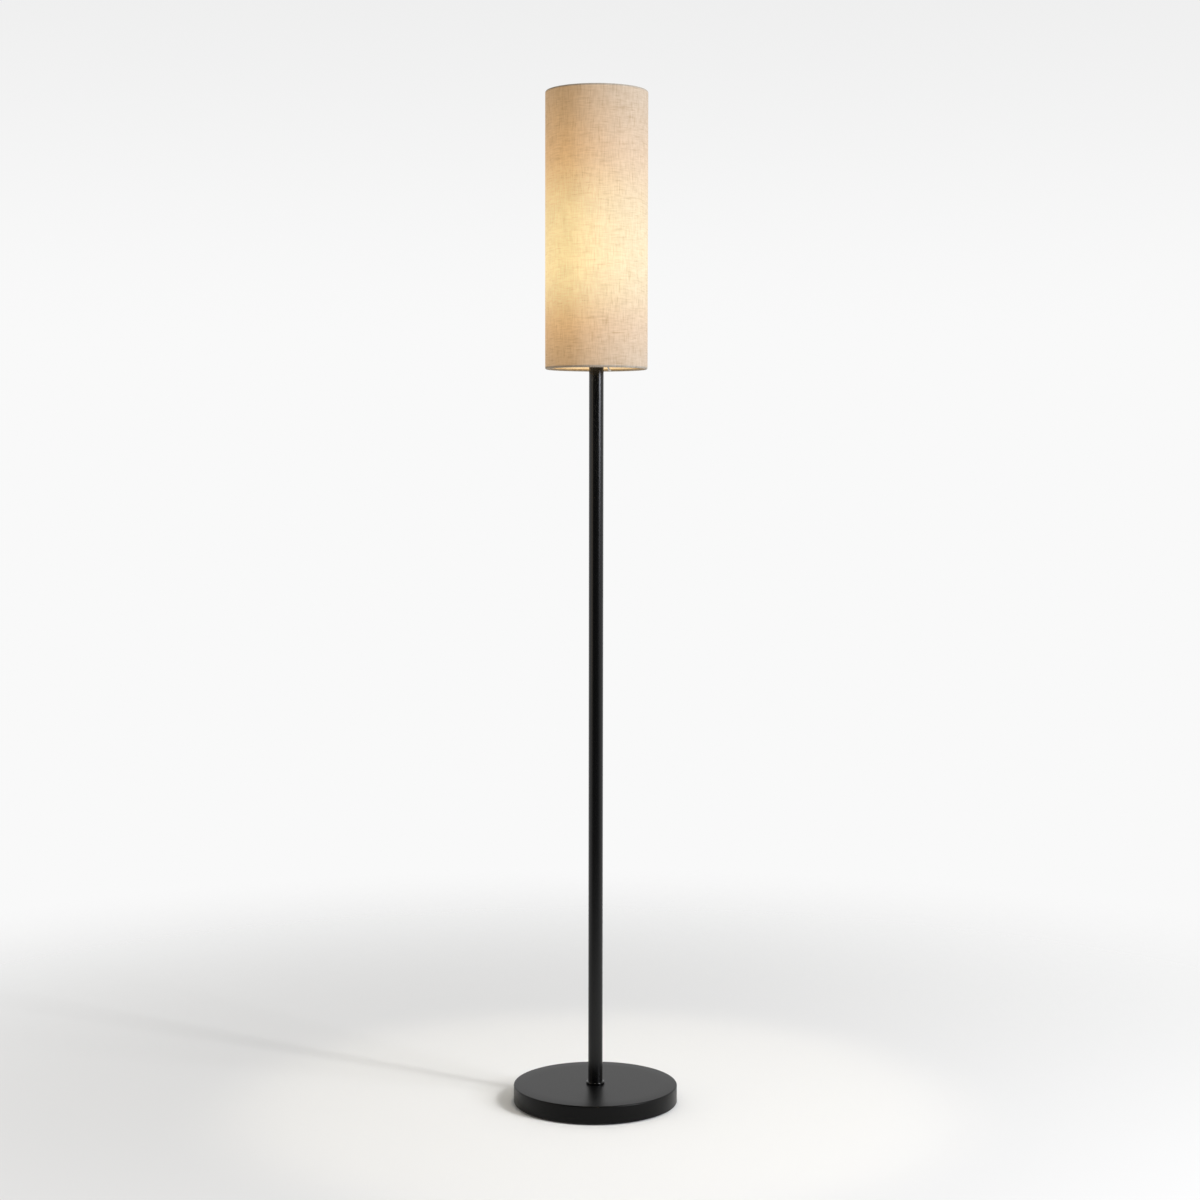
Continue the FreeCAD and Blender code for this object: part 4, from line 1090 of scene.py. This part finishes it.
# The yarn is about 0.6 mm thick, which is too fine to show, so it is drawn 1.2 mm thick, and the
# slubs in it, its thick places, 1.8 mm. The cloth is denser in some patches than in others.
yarn_width = 1.2
yarn_run = 18.0
weave_span = (0.34, 0.66)
slub_width = 1.8
slub_run = 24.0
slub_span = (0.54, 0.76)
cloud_size = 28.0
weave = summed(
    yarn(yarn_width, yarn_run, True, 1.0), 0.5, yarn(yarn_width, yarn_run, False, 7.0), 0.5
)
upright_slubs = picked(yarn(slub_width, slub_run, True, 21.0), *slub_span)
round_slubs = picked(yarn(slub_width, slub_run, False, 33.0), *slub_span)
slubs = summed(upright_slubs, 0.5, round_slubs, 0.5)
cloudy = add_node(
    tree, "ShaderNodeTexNoise", {"Scale": 1 / (cloud_size * mm), "Detail": 2.0}, {"Vector": spot}
).outputs["Fac"]
thickness = summed(picked(weave, *weave_span), 0.4, slubs, 0.55)
tint = add_node(
    tree, "ShaderNodeMix",
    {"data_type": "RGBA", 6: colour("AFA99F"), 7: colour("8A7E6B")}, {0: thickness},
)
tree.links.new(tint.outputs[2], shader.inputs["Base Color"])
weave_relief = 0.25
bump = add_node(
    tree, "ShaderNodeBump", {"Strength": 0.6, "Distance": weave_relief * mm},
    {"Height": thickness},
)
tree.links.new(bump.outputs["Normal"], shader.inputs["Normal"])

# The bulb's light is painted into the cloth as an amber glow, paler beside the bulb.
fall = painted_glow_fall(tree, up)
warmth = add_node(
    tree, "ShaderNodeMix", {"data_type": "RGBA", 6: colour("FFC273"), 7: colour("FFDE97")},
    {0: picked(fall, 0.6, 1.0)},
)
tree.links.new(warmth.outputs[2], shader.inputs["Emission Color"])


def passing(value, start, end, share_at_start, share_at_end):
    """The share of the painted glow that shows through the cloth, as it changes between two places
    in mm.
    """
    return add_node(
        tree, "ShaderNodeMapRange",
        {"interpolation_type": "SMOOTHSTEP", "From Min": start * mm, "From Max": end * mm,
         "To Min": share_at_start, "To Max": share_at_end},
        {"Value": value},
    ).outputs["Result"]


# The painted glow is weaker where the yarn is thick, in the double hems and the lap, and at the
# right, which the lamps light.
painted_glow_strength = 0.76
painted_glow_right_share = 0.65
hem_share = 0.2
lap_share = 0.7
open_weave = summed(thickness, -0.38, cloudy, 0.24)
past_weave = add_node(tree, "ShaderNodeMath", {"operation": "ADD", 1: 1.04}, {0: open_weave})
past_side = passing(axes["X"], -40.0, shade_radius, 1.0, painted_glow_right_share)
past_hem = passing(up, low_rim + 0.2, low_rim + 2.2, hem_share, 1.0)
past_top = passing(up, high_rim - 1.4, high_rim + 0.6, 1.0, hem_share)
lap_edge = math.pi * shade_radius - lap_width / 2
from_front = add_node(tree, "ShaderNodeMath", {"operation": "ABSOLUTE"}, {0: across})
past_lap = passing(from_front.outputs["Value"], lap_edge, lap_edge + 0.2, 1.0, lap_share)
glow = fall
for share in (past_weave.outputs["Value"], past_side, past_hem, past_top, past_lap):
    glow = add_node(
        tree, "ShaderNodeMath", {"operation": "MULTIPLY"}, {0: glow, 1: share}
    ).outputs["Value"]
glow = add_node(tree, "ShaderNodeMath", {"operation": "MULTIPLY", 1: painted_glow_strength}, {0: glow})
tree.links.new(glow.outputs["Value"], shader.inputs["Emission Strength"])

cover_path = (
    arc((rim_circle, low_rim), hem_radius, -270, 0, 14)
    + risen(shade_radius, low_rim, high_rim, 10)[1:-1]
    + arc((rim_circle, high_rim), hem_radius, 0, 270, 14)
)
shade = turned("shade_cloth", cover_path, 240, closed=False)
ripple = 0.12                # how deep the stretched cloth dips, over patches of the next size
ripple_size = 30.0
clouds = bpy.data.textures.new("cloth_ripple", type="CLOUDS")
clouds.noise_scale = ripple_size * mm
modified(
    shade, "DISPLACE", texture=clouds, texture_coords="LOCAL", mid_level=0.0,
    strength=-ripple * mm,
)
modified(shade, "SOLIDIFY", thickness=cloth * mm, offset=-1.0, use_even_offset=True)
lapped(shade, shade_radius, lap_width, cloth_lap)
fitted(shade, "shade", "linen", linen, "shade_linen")


# --- Light of the bulb on the floor --------------------------------------------------------------
# The light that leaves the open foot of the shade makes a soft round pool on the floor. It is as
# wide as the cone from the bulb through that opening, and a soft edge more.
open_radius = 73.0
soft_edge = 1.22
pool_watts = 7.5
cone = 2 * math.atan(open_radius / (glow_level - shade_foot))
bpy.ops.object.light_add(type="SPOT", location=(0, 0, shade_foot * mm))
pool = bpy.context.object
pool.name = "bulb_pool"
pool.data.spot_size = cone * soft_edge
pool.data.spot_blend = 0.4
pool.data.energy = pool_watts
pool.data.color = colour("FFF6E0")[:3]
pool.data.shadow_soft_size = open_radius * mm
pool.visible_camera = False
